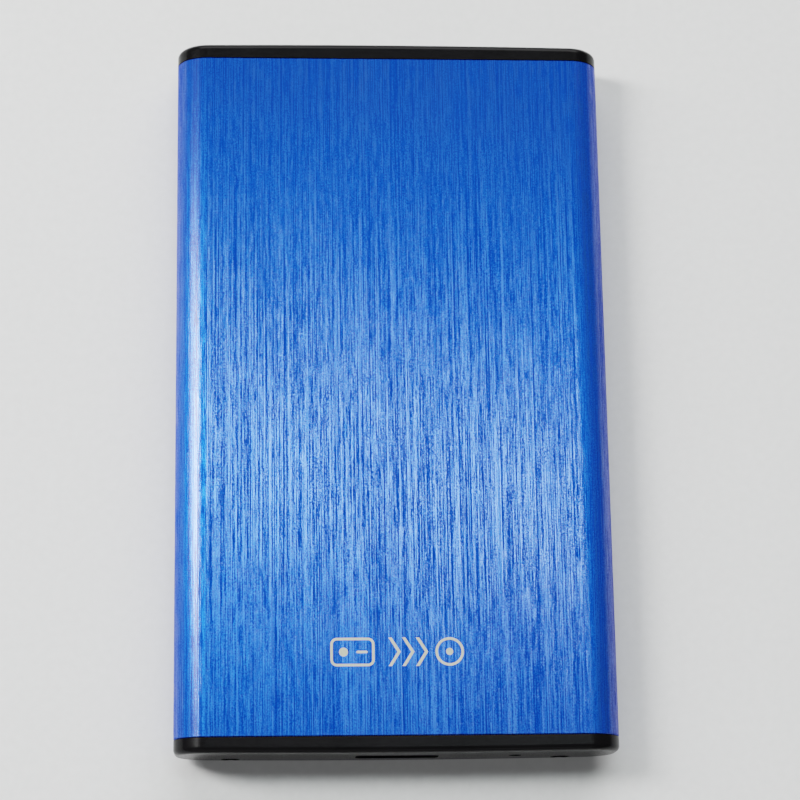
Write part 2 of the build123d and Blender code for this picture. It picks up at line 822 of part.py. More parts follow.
# ----------------------------------------------------------------- drive, spindle motor
spindle_axis = Plane((spindle[0], spindle[1], 0), x_dir=(1, 0, 0), z_dir=(0, -1, 0))
hub_bottom = cavity_floor + 0.3
clamp_screw_circle = 6.0
bearing_height = 3.5
with BuildPart() as spindle_bearing:
    with BuildSketch(Plane.XY.offset(drive_bottom + 0.1)):
        with Locations(spindle):
            Circle(bearing_radius)
    extrude(amount=bearing_height)
    with BuildSketch(Plane.XY.offset(drive_bottom + 0.7)):
        with Locations(spindle):
            Circle(1.5)
    extrude(amount=bearing_height, mode=Mode.SUBTRACT)
pieces["spindle_bearing"] = spindle_bearing

stator_teeth = 9
with BuildPart() as motor_stator:
    with BuildSketch(Plane.XY.offset(cavity_floor + 0.05)):
        with Locations(spindle):
            Circle(4.6)
            Circle(3.1, mode=Mode.SUBTRACT)
            with PolarLocations(6.2, stator_teeth):
                Rectangle(3.6, 1.2)
    extrude(amount=1.1)
pieces["motor_stator"] = motor_stator

with BuildPart() as stator_coils:
    with BuildSketch(Plane.XY.offset(cavity_floor + 0.02)):
        with Locations(spindle):
            with PolarLocations(6.3, stator_teeth):
                RectangleRounded(2.2, 2.2, 0.4)
                Rectangle(2.3, 1.24, mode=Mode.SUBTRACT)
    extrude(amount=1.2)
pieces["stator_coils"] = stator_coils

with BuildPart() as spindle_hub:
    with BuildSketch(spindle_axis):
        with BuildLine():
            Polyline(
                (0.0, drive_bottom + 1.0),
                (1.45, drive_bottom + 1.0),
                (1.45, platter_top - 0.85),
                (8.9, platter_top - 0.85),
                (8.9, hub_bottom),
                (9.9, hub_bottom),
                (9.9, platter_bottom - 0.5),
                (11.8, platter_bottom - 0.5),
                (11.8, platter_bottom),
                (9.9, platter_bottom),
                (9.9, platter_top),
                (0.0, platter_top),
                close=True,
            )
        make_face()
    revolve(axis=Axis((spindle[0], spindle[1], 0), (0, 0, 1)))
    with BuildSketch(Plane.XY.offset(platter_top)):
        with Locations(spindle):
            with PolarLocations(clamp_screw_circle, 6):
                Circle(0.5)
    extrude(amount=-0.7, mode=Mode.SUBTRACT)
pieces["spindle_hub"] = spindle_hub

with BuildPart() as rotor_magnet:
    with BuildSketch(Plane.XY.offset(hub_bottom)):
        with Locations(spindle):
            Circle(8.88)
            Circle(8.35, mode=Mode.SUBTRACT)
    extrude(amount=0.9)
pieces["rotor_magnet"] = rotor_magnet

with BuildPart() as platter:
    with BuildSketch(Plane.XY.offset(platter_bottom)):
        with Locations(spindle):
            Circle(platter_radius)
            Circle(platter_bore, mode=Mode.SUBTRACT)
    extrude(amount=platter_thickness)
    chamfer(platter.edges().filter_by(GeomType.CIRCLE), 0.1)
pieces["platter"] = platter

clamp_thickness = 0.4
with BuildPart() as platter_clamp:
    with BuildSketch(Plane.XY.offset(platter_top)):
        with Locations(spindle):
            Circle(11.6)
            Circle(2.5, mode=Mode.SUBTRACT)
            with PolarLocations(clamp_screw_circle, 6):
                Circle(0.6, mode=Mode.SUBTRACT)
    extrude(amount=clamp_thickness)
    chamfer(platter_clamp.edges().group_by(Axis.Z)[-1].sort_by(SortBy.LENGTH)[-1], 0.2)
pieces["platter_clamp"] = platter_clamp

clamp_screw = screw(0.48, 1.0, 1.0, 0.35)
with BuildPart() as clamp_screws:
    with Locations((spindle[0], spindle[1], platter_top + clamp_thickness)):
        with PolarLocations(clamp_screw_circle, 6):
            add(clamp_screw)
pieces["clamp_screws"] = clamp_screws

# ------------------------------------------------------------- drive, head arm assembly
arm_thickness = 0.4
lower_arm_bottom = platter_bottom - 0.95
upper_arm_bottom = platter_top + 0.55
arm_ring_radius = 5.4
coil_bottom = platter_bottom - 0.15
coil_thickness = 1.0
coil_inner = 9.4
coil_outer = 17.4
coil_half_angle = 19.0

with BuildPart() as pivot_shaft:
    with BuildSketch(Plane.XY.offset(cavity_floor)):
        with Locations(pivot):
            Circle(1.5)
    extrude(amount=cover_bottom - cavity_floor - 0.05)
pieces["pivot_shaft"] = pivot_shaft

with BuildPart() as pivot_bearing:
    with BuildSketch(Plane.XY.offset(lower_arm_bottom - 0.3)):
        with Locations(pivot):
            Circle(3.58)
            Circle(1.55, mode=Mode.SUBTRACT)
    extrude(amount=upper_arm_bottom + arm_thickness - lower_arm_bottom + 0.5)
pieces["pivot_bearing"] = pivot_bearing


arm_blade = [(0, -5.0), (24.0, -2.0), (25.5, -1.2), (25.5, 1.2), (24.0, 2.0), (0, 5.0)]
arm_window = [(10.0, -1.6), (18.0, -0.8), (18.0, 0.8), (10.0, 1.6)]

fork_sector = ring_sector(
    4.0, coil_outer + 0.9, 180 - coil_half_angle - 4.0, 2 * coil_half_angle + 8.0
)
coil_window = ring_sector(
    coil_inner - 0.05, coil_outer, 180 - coil_half_angle, 2 * coil_half_angle
)
with BuildPart() as actuator_arm:
    with BuildSketch(arm_plane.offset(lower_arm_bottom)):
        Circle(arm_ring_radius)
    extrude(amount=upper_arm_bottom + arm_thickness - lower_arm_bottom)
    for blade_bottom in (lower_arm_bottom, upper_arm_bottom):
        with BuildSketch(arm_plane.offset(blade_bottom)):
            add(outline(*arm_blade))
            add(outline(*arm_window), mode=Mode.SUBTRACT)
        extrude(amount=arm_thickness)
    # The fork that holds the voice coil, on the far side of the pivot.
    with BuildSketch(arm_plane.offset(coil_bottom)):
        add(fork_sector)
        add(coil_window, mode=Mode.SUBTRACT)
    extrude(amount=coil_thickness)
    with BuildSketch(arm_plane):
        Circle(3.6)
    extrude(amount=case_height, mode=Mode.SUBTRACT)
pieces["actuator_arm"] = actuator_arm

coil_outline = ring_sector(
    coil_inner, coil_outer - 0.1, 180 - coil_half_angle + 0.5, 2 * coil_half_angle - 1
)
coil_opening = ring_sector(
    coil_inner + 2.2, coil_outer - 2.4, 180 - coil_half_angle + 10, 2 * coil_half_angle - 20
)
with BuildPart() as voice_coil:
    with BuildSketch(arm_plane.offset(coil_bottom + 0.05)):
        add(coil_outline)
        add(coil_opening, mode=Mode.SUBTRACT)
    extrude(amount=coil_thickness - 0.1)
pieces["voice_coil"] = voice_coil

suspension_thickness = 0.12
slider_height = 0.25
head_gap = 0.12
lower_slider_bottom = platter_bottom - head_gap - slider_height
upper_slider_bottom = platter_top + head_gap
suspension_half = [(20.5, 1.9), (24.0, 1.9), (36.0, 0.7), (37.6, 0.3)]
suspension_blade = suspension_half + [(x, -y) for x, y in reversed(suspension_half)]
with BuildPart() as head_suspensions:
    for blade_bottom, root_low, root_high in (
        (
            lower_slider_bottom - suspension_thickness,
            lower_arm_bottom + arm_thickness,
            lower_slider_bottom,
        ),
        (upper_slider_bottom + slider_height, upper_slider_bottom + slider_height, upper_arm_bottom),
    ):
        with BuildSketch(arm_plane.offset(blade_bottom)):
            add(outline(*suspension_blade))
        extrude(amount=suspension_thickness)
        with BuildSketch(arm_plane.offset(root_low)):
            with Locations((22.0, 0)):
                Circle(1.1)
        extrude(amount=root_high - root_low)
pieces["head_suspensions"] = head_suspensions

with BuildPart() as head_sliders:
    for slider_bottom in (lower_slider_bottom, upper_slider_bottom):
        with BuildSketch(arm_plane.offset(slider_bottom)):
            with Locations((head_distance, 0)):
                Rectangle(1.2, 1.0)
        extrude(amount=slider_height)
pieces["head_sliders"] = head_sliders

# ------------------------------------------------- drive, magnets and other fixed parts
yoke_start = coil_direction - coil_half_angle - 1.0
yoke_sweep = 2 * coil_half_angle + head_sweep + 2.0
yoke_outer = 20.0
yoke_thickness = 0.55
magnet_thickness = 0.5
pivot_plane = Plane((pivot[0], pivot[1], 0))
pillar_points = [
    (19.1 * cos(radians(a)), 19.1 * sin(radians(a)))
    for a in (yoke_start + 4, yoke_start + yoke_sweep - 4)
]
upper_yoke_bottom = base_top - yoke_thickness
yoke_sector = ring_sector(7.6, yoke_outer, yoke_start, yoke_sweep)
magnet_sector = ring_sector(8.6, 17.6, yoke_start + 2, yoke_sweep - 4)

with BuildPart() as lower_yoke:
    with BuildSketch(pivot_plane.offset(cavity_floor)):
        add(yoke_sector)
    extrude(amount=yoke_thickness)
    with BuildSketch(pivot_plane.offset(cavity_floor)):
        with Locations(*pillar_points):
            Circle(0.8)
    extrude(amount=upper_yoke_bottom - cavity_floor)
pieces["lower_yoke"] = lower_yoke

with BuildPart() as upper_yoke:
    with BuildSketch(pivot_plane.offset(upper_yoke_bottom)):
        add(yoke_sector)
    extrude(amount=yoke_thickness)
pieces["upper_yoke"] = upper_yoke

with BuildPart() as coil_magnets:
    for magnet_bottom in (cavity_floor + yoke_thickness, upper_yoke_bottom - magnet_thickness):
        with BuildSketch(pivot_plane.offset(magnet_bottom)):
            add(magnet_sector)
        extrude(amount=magnet_thickness)
pieces["coil_magnets"] = coil_magnets

with BuildPart() as load_ramp:
    with BuildSketch(arm_plane.offset(cavity_floor)):
        with Locations((39.3, -0.6)):
            RectangleRounded(5.4, 4.4, 0.6)
    extrude(amount=upper_arm_bottom + arm_thickness + 0.2 - cavity_floor)
    with BuildSketch(arm_plane.offset(lower_slider_bottom - 0.45)):
        with Locations((34.5, 0)):
            Rectangle(8.0, 8.0)
    extrude(amount=upper_slider_bottom - lower_slider_bottom + slider_height + 0.9, mode=Mode.SUBTRACT)
pieces["load_ramp"] = load_ramp

# The flexible circuit: a connector block on the floor and a ribbon that loops towards
# the arm's hub.
ribbon_height = 1.6
with BuildPart() as flex_circuit:
    block((2.0, -35.0, cavity_floor), (14.0, -29.5, cavity_floor + 1.4))
    with BuildSketch(Plane.XY.offset(cavity_floor + 0.6)):
        with BuildLine():
            ThreePointArc((4.0, -29.6), (1.5, -22.5), (-4.9, -21.6))
        trace(line_width=0.16)
    extrude(amount=ribbon_height)
pieces["flex_circuit"] = flex_circuit

with BuildPart() as air_filter:
    with BuildSketch(Plane.XY.offset(cavity_floor)):
        with Locations((25.0, -24.0)):
            Circle(4.2)
    extrude(amount=1.8)
    chamfer(air_filter.edges().group_by(Axis.Z)[-1], 0.3)
pieces["air_filter"] = air_filter

# ============================================================================== write
os.makedirs("parts", exist_ok=True)
for label, piece in pieces.items():
    piece.part.label = label
    export_step(piece.part, f"parts/{label}.step")
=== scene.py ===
import json
import math
import random

import bmesh
import bpy
from mathutils import Matrix, Vector


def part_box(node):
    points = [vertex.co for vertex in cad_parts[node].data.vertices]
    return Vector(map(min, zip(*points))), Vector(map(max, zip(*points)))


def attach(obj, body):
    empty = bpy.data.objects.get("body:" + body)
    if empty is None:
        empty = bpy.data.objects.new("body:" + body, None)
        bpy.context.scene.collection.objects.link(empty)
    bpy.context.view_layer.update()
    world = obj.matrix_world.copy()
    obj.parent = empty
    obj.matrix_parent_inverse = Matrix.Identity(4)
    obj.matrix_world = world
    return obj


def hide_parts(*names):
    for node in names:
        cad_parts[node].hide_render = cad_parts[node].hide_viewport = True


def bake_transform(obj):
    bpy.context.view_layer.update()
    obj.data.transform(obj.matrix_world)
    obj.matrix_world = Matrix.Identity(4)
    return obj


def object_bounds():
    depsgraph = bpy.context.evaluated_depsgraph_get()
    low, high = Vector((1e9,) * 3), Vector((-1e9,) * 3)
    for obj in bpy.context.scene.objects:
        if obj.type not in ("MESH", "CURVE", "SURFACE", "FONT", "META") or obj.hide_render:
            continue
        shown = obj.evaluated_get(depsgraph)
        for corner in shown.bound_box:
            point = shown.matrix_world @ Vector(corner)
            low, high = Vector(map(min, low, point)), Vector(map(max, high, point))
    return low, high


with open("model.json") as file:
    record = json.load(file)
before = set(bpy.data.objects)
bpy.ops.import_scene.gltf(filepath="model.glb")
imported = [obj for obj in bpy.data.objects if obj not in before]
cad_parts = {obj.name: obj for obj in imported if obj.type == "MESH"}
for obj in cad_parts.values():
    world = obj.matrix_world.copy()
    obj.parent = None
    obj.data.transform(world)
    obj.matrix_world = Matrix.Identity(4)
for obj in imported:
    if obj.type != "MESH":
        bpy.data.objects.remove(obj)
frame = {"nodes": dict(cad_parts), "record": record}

MM = 0.001
cad_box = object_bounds()
nodes = frame["nodes"]
node_slots = {part["node"]: part["material_slot"] for part in frame["record"]["subparts"]}
sleeve_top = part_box("sleeve")[1].z


# ------------------------------------------------------------------------ node helpers
# The Mix node has a set of sockets for each kind of data: these are its colour sockets.
MIX_COLOUR_INPUTS = (0, 6, 7)
MIX_COLOUR_OUTPUT = 2


class Shader:
    """A material with one Principled shader, and short ways to add nodes to it."""

    def __init__(self, name):
        self.material = bpy.data.materials.new(name)
        self.material.use_nodes = True
        self.tree = self.material.node_tree
        self.bsdf = self.tree.nodes["Principled BSDF"]
        self.coordinates = self.tree.nodes.new("ShaderNodeTexCoord").outputs["Object"]

    def set(self, **values):
        """Sets constants on the shader's own sockets: coat_weight is "Coat Weight"."""
        for key, value in values.items():
            words = key.split("_")
            socket = " ".join("IOR" if word == "ior" else word.capitalize() for word in words)
            if isinstance(value, tuple):
                value = (*value, 1.0)
            self.bsdf.inputs[socket].default_value = value

    def link(self, output, socket):
        """The shader's socket follows another node's output."""
        self.tree.links.new(output, self.bsdf.inputs[socket])

    def node(self, kind, **settings):
        """A new node of a kind, with its settings."""
        made = self.tree.nodes.new(kind)
        for key, value in settings.items():
            setattr(made, key, value)
        return made

    def stretched(self, size, turn=0.0):
        """Object coordinates counted in features of this size, given in millimetres."""
        mapping = self.node("ShaderNodeMapping")
        mapping.inputs["Scale"].default_value = tuple(1 / (length * MM) for length in size)
        mapping.inputs["Rotation"].default_value = (0.0, turn, 0.0)
        self.tree.links.new(self.coordinates, mapping.inputs["Vector"])
        return mapping.outputs["Vector"]

    def noise(self, size, detail=2.0, roughness=0.5, turn=0.0):
        """Noise whose features have this size, in millimetres, turned about the Y axis."""
        made = self.node("ShaderNodeTexNoise")
        made.inputs["Scale"].default_value = 1.0
        made.inputs["Detail"].default_value = detail
        made.inputs["Roughness"].default_value = roughness
        self.tree.links.new(self.stretched(size, turn), made.inputs["Vector"])
        return made.outputs["Fac"]

    def slope(self):
        """1 where the surface faces straight up or down, and 0 where it is upright."""
        normal = self.node("ShaderNodeTexCoord").outputs["Normal"]
        parts = self.node("ShaderNodeSeparateXYZ")
        self.tree.links.new(normal, parts.inputs["Vector"])
        return self.arithmetic("ABSOLUTE", parts.outputs["Z"])

    def cells(self, size):
        """Distance to scattered points spaced by this size, in millimetres."""
        made = self.node("ShaderNodeTexVoronoi", feature="F1")
        made.inputs["Scale"].default_value = 1.0
        self.tree.links.new(self.stretched(size), made.inputs["Vector"])
        return made.outputs["Distance"]

    def ramp(self, value, *stops):
        """A value turned into a colour, or into another value, by stops (place, colour)."""
        made = self.node("ShaderNodeValToRGB")
        elements = made.color_ramp.elements
        while len(elements) < len(stops):
            elements.new(1.0)
        for element, (place, colour) in zip(elements, stops):
            element.position = place
            if not isinstance(colour, tuple):
                colour = (colour, colour, colour)
            element.color = (*colour, 1.0)
        self.tree.links.new(value, made.inputs["Fac"])
        return made.outputs["Color"]

    def colour(self, value, *stops):
        """The base colour follows a value, by stops."""
        self.link(self.ramp(value, *stops), "Base Color")

    def gloss(self, value, *stops):
        """The roughness follows a value, by stops."""
        self.link(self.ramp(value, *stops), "Roughness")

    def arithmetic(self, operation, *values):
        """One sum on values, each of them a number or another node's output."""
        made = self.node("ShaderNodeMath", operation=operation)
        for socket, value in zip(made.inputs, values):
            if isinstance(value, float):
                socket.default_value = value
            else:
                self.tree.links.new(value, socket)
        return made.outputs["Value"]

    def blend(self, *shares):
        """A weighted sum of values, given as (value, weight)."""
        total = None
        for value, weight in shares:
            share = self.arithmetic("MULTIPLY", value, weight)
            total = share if total is None else self.arithmetic("ADD", total, share)
        return total

    def mix(self, amount, first, second):
        """A blend of two colours, by an amount from 0 to 1."""
        made = self.node("ShaderNodeMix", data_type="RGBA")
        factor, colour_a, colour_b = (made.inputs[i] for i in MIX_COLOUR_INPUTS)
        self.tree.links.new(amount, factor)
        colour_a.default_value = (*first, 1.0)
        colour_b.default_value = (*second, 1.0)
        return made.outputs[MIX_COLOUR_OUTPUT]

    def bump(self, height, depth):
        """Bumps of this depth, in millimetres."""
        made = self.node("ShaderNodeBump")
        made.inputs["Strength"].default_value = 1.0
        made.inputs["Distance"].default_value = depth * MM
        self.tree.links.new(height, made.inputs["Height"])
        self.link(made.outputs["Normal"], "Normal")
        return made.outputs["Normal"]


def scaled(colour, factor):
    """A colour made darker or lighter."""
    return tuple(min(1.0, channel * factor) for channel in colour)


# -------------------------------------------------------------------------- materials
# How a grain is drawn out along each axis.
EVEN = (1.0, 1.0, 1.0)
ALONG_X = (14.0, 1.0, 1.0)
ALONG_Y = (1.0, 18.0, 1.0)


def anodised_blue():
    """Aluminium brushed along Y, then anodised blue: dyed metal under a clear oxide.

    The noises are long in Y, and turned about it so that their cells don't line up
    with the faces.
    """
    shader = Shader("anodised_blue")
    scratches = shader.noise((0.11, 40.0, 0.11), detail=0.0, turn=0.6)
    hairlines = shader.noise((0.1, 3.5, 0.1), detail=0.0, turn=1.1)
    specks = shader.noise((0.18, 0.26, 0.18), detail=0.0, turn=0.35)
    bands = shader.noise((0.6, 90.0, 0.6), detail=1.0, turn=0.9)
    streaks = shader.blend((scratches, 0.41), (hairlines, 0.31), (specks, 0.25), (bands, 0.03))
    shader.colour(
        streaks,
        (0.42, (0.002, 0.040, 0.35)),
        (0.51, (0.003, 0.054, 0.42)),
        (0.58, (0.008, 0.098, 0.62)),
    )
    shader.gloss(streaks, (0.44, 0.72), (0.56, 0.32))

    # On the flat faces the oxide shines only on the brighter streaks. Round the edges it
    # is even, and carries one smooth line of light.
    brushed_coat = shader.ramp(streaks, (0.48, 0.0), (0.53, 0.4), (0.57, 1.0))
    edge_coat = shader.ramp(
        shader.slope(), (0.0, 0.0), (0.6, 0.1), (0.86, 0.7), (0.95, 0.7), (0.99, 0.0)
    )
    shader.link(shader.arithmetic("MAXIMUM", brushed_coat, edge_coat), "Coat Weight")
    shader.link(shader.bump(streaks, 0.03), "Coat Normal")
    shader.set(metallic=1.0, anisotropic=0.85, anisotropic_rotation=0.25)
    shader.set(specular_tint=(0.1, 0.25, 0.9), coat_roughness=0.15, coat_ior=1.55)
    along = shader.node("ShaderNodeCombineXYZ")
    along.inputs["Y"].default_value = 1.0
    shader.link(along.outputs["Vector"], "Tangent")
    return shader.material


def moulded_plastic(name, colour, roughness, grain, depth=0.004, shine=0.5):
    """Moulded plastic with a fine grain and slight changes in tone."""
    shader = Shader(name)
    texture = shader.noise((grain, grain, grain), detail=3.0)
    cloud = shader.noise((9.0, 9.0, 9.0))
    shader.colour(cloud, (0.3, scaled(colour, 0.8)), (0.7, scaled(colour, 1.25)))
    shader.gloss(texture, (0.3, roughness - 0.05), (0.7, roughness + 0.07))
    shader.bump(texture, depth)
    shader.set(specular_ior_level=shine)
    return shader.material


def plain_metal(name, colour, roughness, grain, depth=0.004, drawn=EVEN, spread=0.2):
    """Bare or plated metal, with a grain that can be drawn out along an axis.

    The spread is how far the grain changes the colour and the roughness.
    """
    shader = Shader(name)
    size = tuple(grain * factor for factor in drawn)
    texture = shader.noise(size, detail=3.0, roughness=0.6)
    dark, light = scaled(colour, 1 - spread), scaled(colour, 1 + spread / 2)
    shader.colour(texture, (0.25, dark), (0.75, light))
    smoother, rougher = roughness - 0.3 * spread, roughness + 0.5 * spread
    shader.gloss(texture, (0.3, smoother), (0.7, rougher))
    shader.bump(texture, depth)
    shader.set(metallic=1.0)
    return shader.material


def foam(name, colour):
    """Closed-cell foam or felt: tiny cells, fully matte."""
    shader = Shader(name)
    cells = shader.cells((0.35, 0.35, 0.35))
    shader.colour(cells, (0.1, scaled(colour, 0.5)), (0.6, scaled(colour, 1.4)))
    shader.bump(cells, 0.08)
    shader.set(roughness=0.95, sheen_weight=0.15)
    return shader.material


def circuit_board(name, mask, copper):
    """Solder mask over a maze of copper tracks, which show as slightly lighter lines."""
    shader = Shader(name)
    brick = shader.node("ShaderNodeTexBrick", offset=0.37, offset_frequency=2, squash=0.6)
    brick.inputs["Scale"].default_value = 1.0
    brick.inputs["Mortar Size"].default_value = 0.09
    brick.inputs["Brick Width"].default_value = 3.1
    brick.inputs["Row Height"].default_value = 0.9
    shader.tree.links.new(shader.stretched((1.0, 1.0, 1.0)), brick.inputs["Vector"])
    tracks = shader.ramp(brick.outputs["Fac"], (0.35, 0.0), (0.65, 1.0))
    patches = shader.ramp(shader.noise((6.0, 5.0, 6.0), detail=1.0), (0.44, 0.0), (0.5, 1.0))
    routed = shader.arithmetic("MULTIPLY", tracks, patches)
    shader.link(shader.mix(routed, mask, copper), "Base Color")
    shader.gloss(routed, (0.0, 0.36), (1.0, 0.28))
    shader.bump(routed, 0.03)
    shader.set(coat_weight=0.3, coat_roughness=0.2)
    return shader.material


def wound_copper(name, colour):
    """Enamelled wire laid side by side round a coil."""
    shader = Shader(name)
    wires = shader.node("ShaderNodeTexWave", wave_type="RINGS", rings_direction="Z")
    wires.inputs["Scale"].default_value = 1.0
    wires.inputs["Distortion"].default_value = 0.4
    shader.tree.links.new(shader.stretched((0.3, 0.3, 0.3)), wires.inputs["Vector"])
    turns = wires.outputs["Fac"]
    shader.colour(turns, (0.1, scaled(colour, 0.35)), (0.7, scaled(colour, 1.1)))
    shader.bump(turns, 0.03)
    shader.set(metallic=0.9, roughness=0.32, coat_weight=0.5, coat_roughness=0.15)
    return shader.material


def etched_metal(name, colour):
    """A laser mark: pale, matte and slightly grainy."""
    shader = Shader(name)
    grain = shader.noise((0.12, 0.5, 0.12), detail=3.0)
    shader.colour(grain, (0.25, scaled(colour, 0.82)), (0.75, scaled(colour, 1.06)))
    shader.gloss(grain, (0.3, 0.5), (0.7, 0.68))
    shader.bump(grain, 0.004)
    shader.set(specular_ior_level=0.2)
    return shader.material


def clear_plastic(name):
    """A clear moulding with faint flow lines."""
    shader = Shader(name)
    flow = shader.noise((0.8, 3.0, 0.8))
    shader.colour(flow, (0.3, (0.86, 0.9, 0.93)), (0.7, (0.96, 0.98, 1.0)))
    shader.gloss(flow, (0.3, 0.06), (0.7, 0.14))
    shader.set(transmission_weight=0.85, ior=1.49)
    return shader.material


def coated_paper(name, colour):
    """Coated paper or thick white ink, with faint fibres."""
    shader = Shader(name)
    fibres = shader.noise((0.3, 1.2, 0.3), detail=4.0, roughness=0.7)
    shader.colour(fibres, (0.3, scaled(colour, 0.93)), (0.7, scaled(colour, 1.03)))
    shader.bump(fibres, 0.006)
    shader.set(roughness=0.42, coat_weight=0.2, coat_roughness=0.3)
    return shader.material


# What each plastic and each metal is made with: grain and depth are in millimetres.
PLASTICS = {
    "cap_plastic": dict(
        colour=(0.003, 0.0028, 0.0032), roughness=0.2, grain=0.3, depth=0.002, shine=0.08
    ),
    "film": dict(colour=(0.02, 0.02, 0.021), roughness=0.25, grain=2.5, depth=0.02),
    "connector_plastic": dict(colour=(0.016, 0.016, 0.017), roughness=0.5, grain=0.2),
    "chip_resin": dict(colour=(0.022, 0.022, 0.023), roughness=0.58, grain=0.12, depth=0.006),
    "ferrite": dict(colour=(0.09, 0.09, 0.095), roughness=0.6, grain=0.15, depth=0.01),
    "capacitor_ceramic": dict(colour=(0.36, 0.22, 0.11), roughness=0.45, grain=0.15),
    "resistor_ceramic": dict(colour=(0.02, 0.02, 0.024), roughness=0.3, grain=0.15),
    "led_lens": dict(colour=(0.8, 0.8, 0.7), roughness=0.2, grain=0.3),
    "gasket_rubber": dict(colour=(0.02, 0.02, 0.02), roughness=0.7, grain=0.3),
    "ramp_plastic": dict(colour=(0.72, 0.69, 0.58), roughness=0.42, grain=0.25),
    "flex_film": dict(colour=(0.5, 0.2, 0.025), roughness=0.2, grain=1.2),
    "label_ink": dict(colour=(0.02, 0.05, 0.11), roughness=0.45, grain=0.3, depth=0.001),
}
METALS = {
    "screw_black": dict(colour=(0.06, 0.06, 0.065), roughness=0.38, grain=0.2),
    "screw_steel": dict(colour=(0.4, 0.4, 0.39), roughness=0.3, grain=0.2),
    "socket_steel": dict(
        colour=(0.68, 0.68, 0.67), roughness=0.28, grain=0.1, depth=0.0006, drawn=ALONG_Y, spread=0.1
    ),
    "contact_gold": dict(colour=(0.9, 0.66, 0.27), roughness=0.22, grain=0.15),
    "can_metal": dict(
        colour=(0.72, 0.7, 0.65), roughness=0.26, grain=0.1, depth=0.0006, drawn=ALONG_X, spread=0.1
    ),
    "cast_aluminium": dict(colour=(0.36, 0.37, 0.39), roughness=0.48, grain=0.28, depth=0.012),
    "cover_steel": dict(
        colour=(0.46, 0.47, 0.49), roughness=0.36, grain=0.14, depth=0.003, drawn=ALONG_Y
    ),
    "platter_mirror": dict(
        colour=(0.8, 0.8, 0.79), roughness=0.07, grain=0.4, depth=0.0001, spread=0.04
    ),
    "hub_aluminium": dict(colour=(0.72, 0.72, 0.74), roughness=0.28, grain=0.2),
    "motor_steel": dict(colour=(0.4, 0.4, 0.41), roughness=0.36, grain=0.2),
    "magnet_nickel": dict(
        colour=(0.66, 0.64, 0.6), roughness=0.24, grain=0.3, depth=0.0012, spread=0.08
    ),
    "solder": dict(colour=(0.72, 0.72, 0.7), roughness=0.24, grain=0.2),
    "foil": dict(colour=(0.74, 0.74, 0.75), roughness=0.2, grain=2.2, depth=0.02),
}


def make_materials():
    """A material for each of the record's slots, and five for pieces with their own look.

    Those five are label_ink, solder, foil, board_ink and etched_metal.
    """
    made = {
        "anodised_blue": anodised_blue(),
        "foam": foam("foam", (0.045, 0.045, 0.048)),
        "filter_cloth": foam("filter_cloth", (0.75, 0.75, 0.74)),
        "clear_plastic": clear_plastic("clear_plastic"),
        "board_black": circuit_board("board_black", (0.008, 0.022, 0.016), (0.018, 0.05, 0.036)),
        "board_green": circuit_board("board_green", (0.006, 0.075, 0.035), (0.018, 0.15, 0.07)),
        "label_paper": coated_paper("label_paper", (0.8, 0.8, 0.78)),
        "board_ink": coated_paper("board_ink", (0.78, 0.78, 0.74)),
        "coil_copper": wound_copper("coil_copper", (0.75, 0.32, 0.13)),
        "etched_metal": etched_metal("etched_metal", (0.47, 0.51, 0.38)),
    }
    for name, look in PLASTICS.items():
        made[name] = moulded_plastic(name, **look)
    for name, look in METALS.items():
        made[name] = plain_metal(name, **look)
    return made


materials = make_materials()
for node_name, cad_object in nodes.items():
    cad_object.data.materials.clear()
    cad_object.data.materials.append(materials[node_slots[node_name]])


# ------------------------------------------------------------------------ mesh helpers
def to_object(name, bm, body, slot, material=None):
    """A finished mesh becomes a piece that takes a slot's finish and rides on a body.

    Its material is the slot's own unless another is named. A piece that reaches between
    two bodies has None for its body, and rides on neither.
    """
    mesh = bpy.data.meshes.new(name)
    bmesh.ops.recalc_face_normals(bm, faces=bm.faces)
    bm.to_mesh(mesh)
    bm.free()
    piece = bpy.data.objects.new(name, mesh)
    bpy.context.scene.collection.objects.link(piece)
    mesh.materials.append(materials[material or slot])
    if body:
        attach(piece, body)
    return piece


def join_rims(bm, first, second):
    """Faces between two closed rims with as many vertices."""
    for i in range(len(first)):
        j = (i + 1) % len(first)
        bm.faces.new((first[i], first[j], second[j], second[i]))


def rim(bm, points, z):
    """A rim of vertices over (x, y) points."""
    return [bm.verts.new((x, y, z)) for x, y in points]


def raised_band(bm, outer, inner, base_z, height):
    """A flat ring between two closed outlines with as many points, raised by height."""
    low_outer, low_inner = rim(bm, outer, base_z), rim(bm, inner, base_z)
    high_outer, high_inner = rim(bm, outer, base_z + height), rim(bm, inner, base_z + height)
    join_rims(bm, high_outer, high_inner)
    join_rims(bm, low_inner, low_outer)
    join_rims(bm, low_outer, high_outer)
    join_rims(bm, high_inner, low_inner)


def raised_plate(bm, points, base_z, height):
    """A flat plate with a closed outline, raised by height."""
    low_rim, high_rim = rim(bm, points, base_z), rim(bm, points, base_z + height)
    bm.faces.new(high_rim)
    bm.faces.new(list(reversed(low_rim)))
    join_rims(bm, low_rim, high_rim)


def circle_points(centre, radius, count=48):
    """Points round a circle."""
    angles = [2 * math.pi * i / count for i in range(count)]
    return [(centre[0] + radius * math.cos(a), centre[1] + radius * math.sin(a)) for a in angles]


def rounded_points(centre, width, depth, radius, steps=8):
    """Points round a rectangle with rounded corners, anticlockwise."""
    points = []
    for quarter in range(4):
        turn = quarter * math.pi / 2
        side_x = 1 if quarter in (0, 3) else -1
        side_y = 1 if quarter in (0, 1) else -1
        corner_x = centre[0] + side_x * (width / 2 - radius)
        corner_y = centre[1] + side_y * (depth / 2 - radius)
        for step in range(steps + 1):
            angle = turn + step * math.pi / 2 / steps
            x = corner_x + radius * math.cos(angle)
            y = corner_y + radius * math.sin(angle)
            points.append((x, y))
    return points


def middle_of(corner_low, corner_high):
    """The middle of a box, seen from above."""
    return ((corner_low[0] + corner_high[0]) / 2, (corner_low[1] + corner_high[1]) / 2)


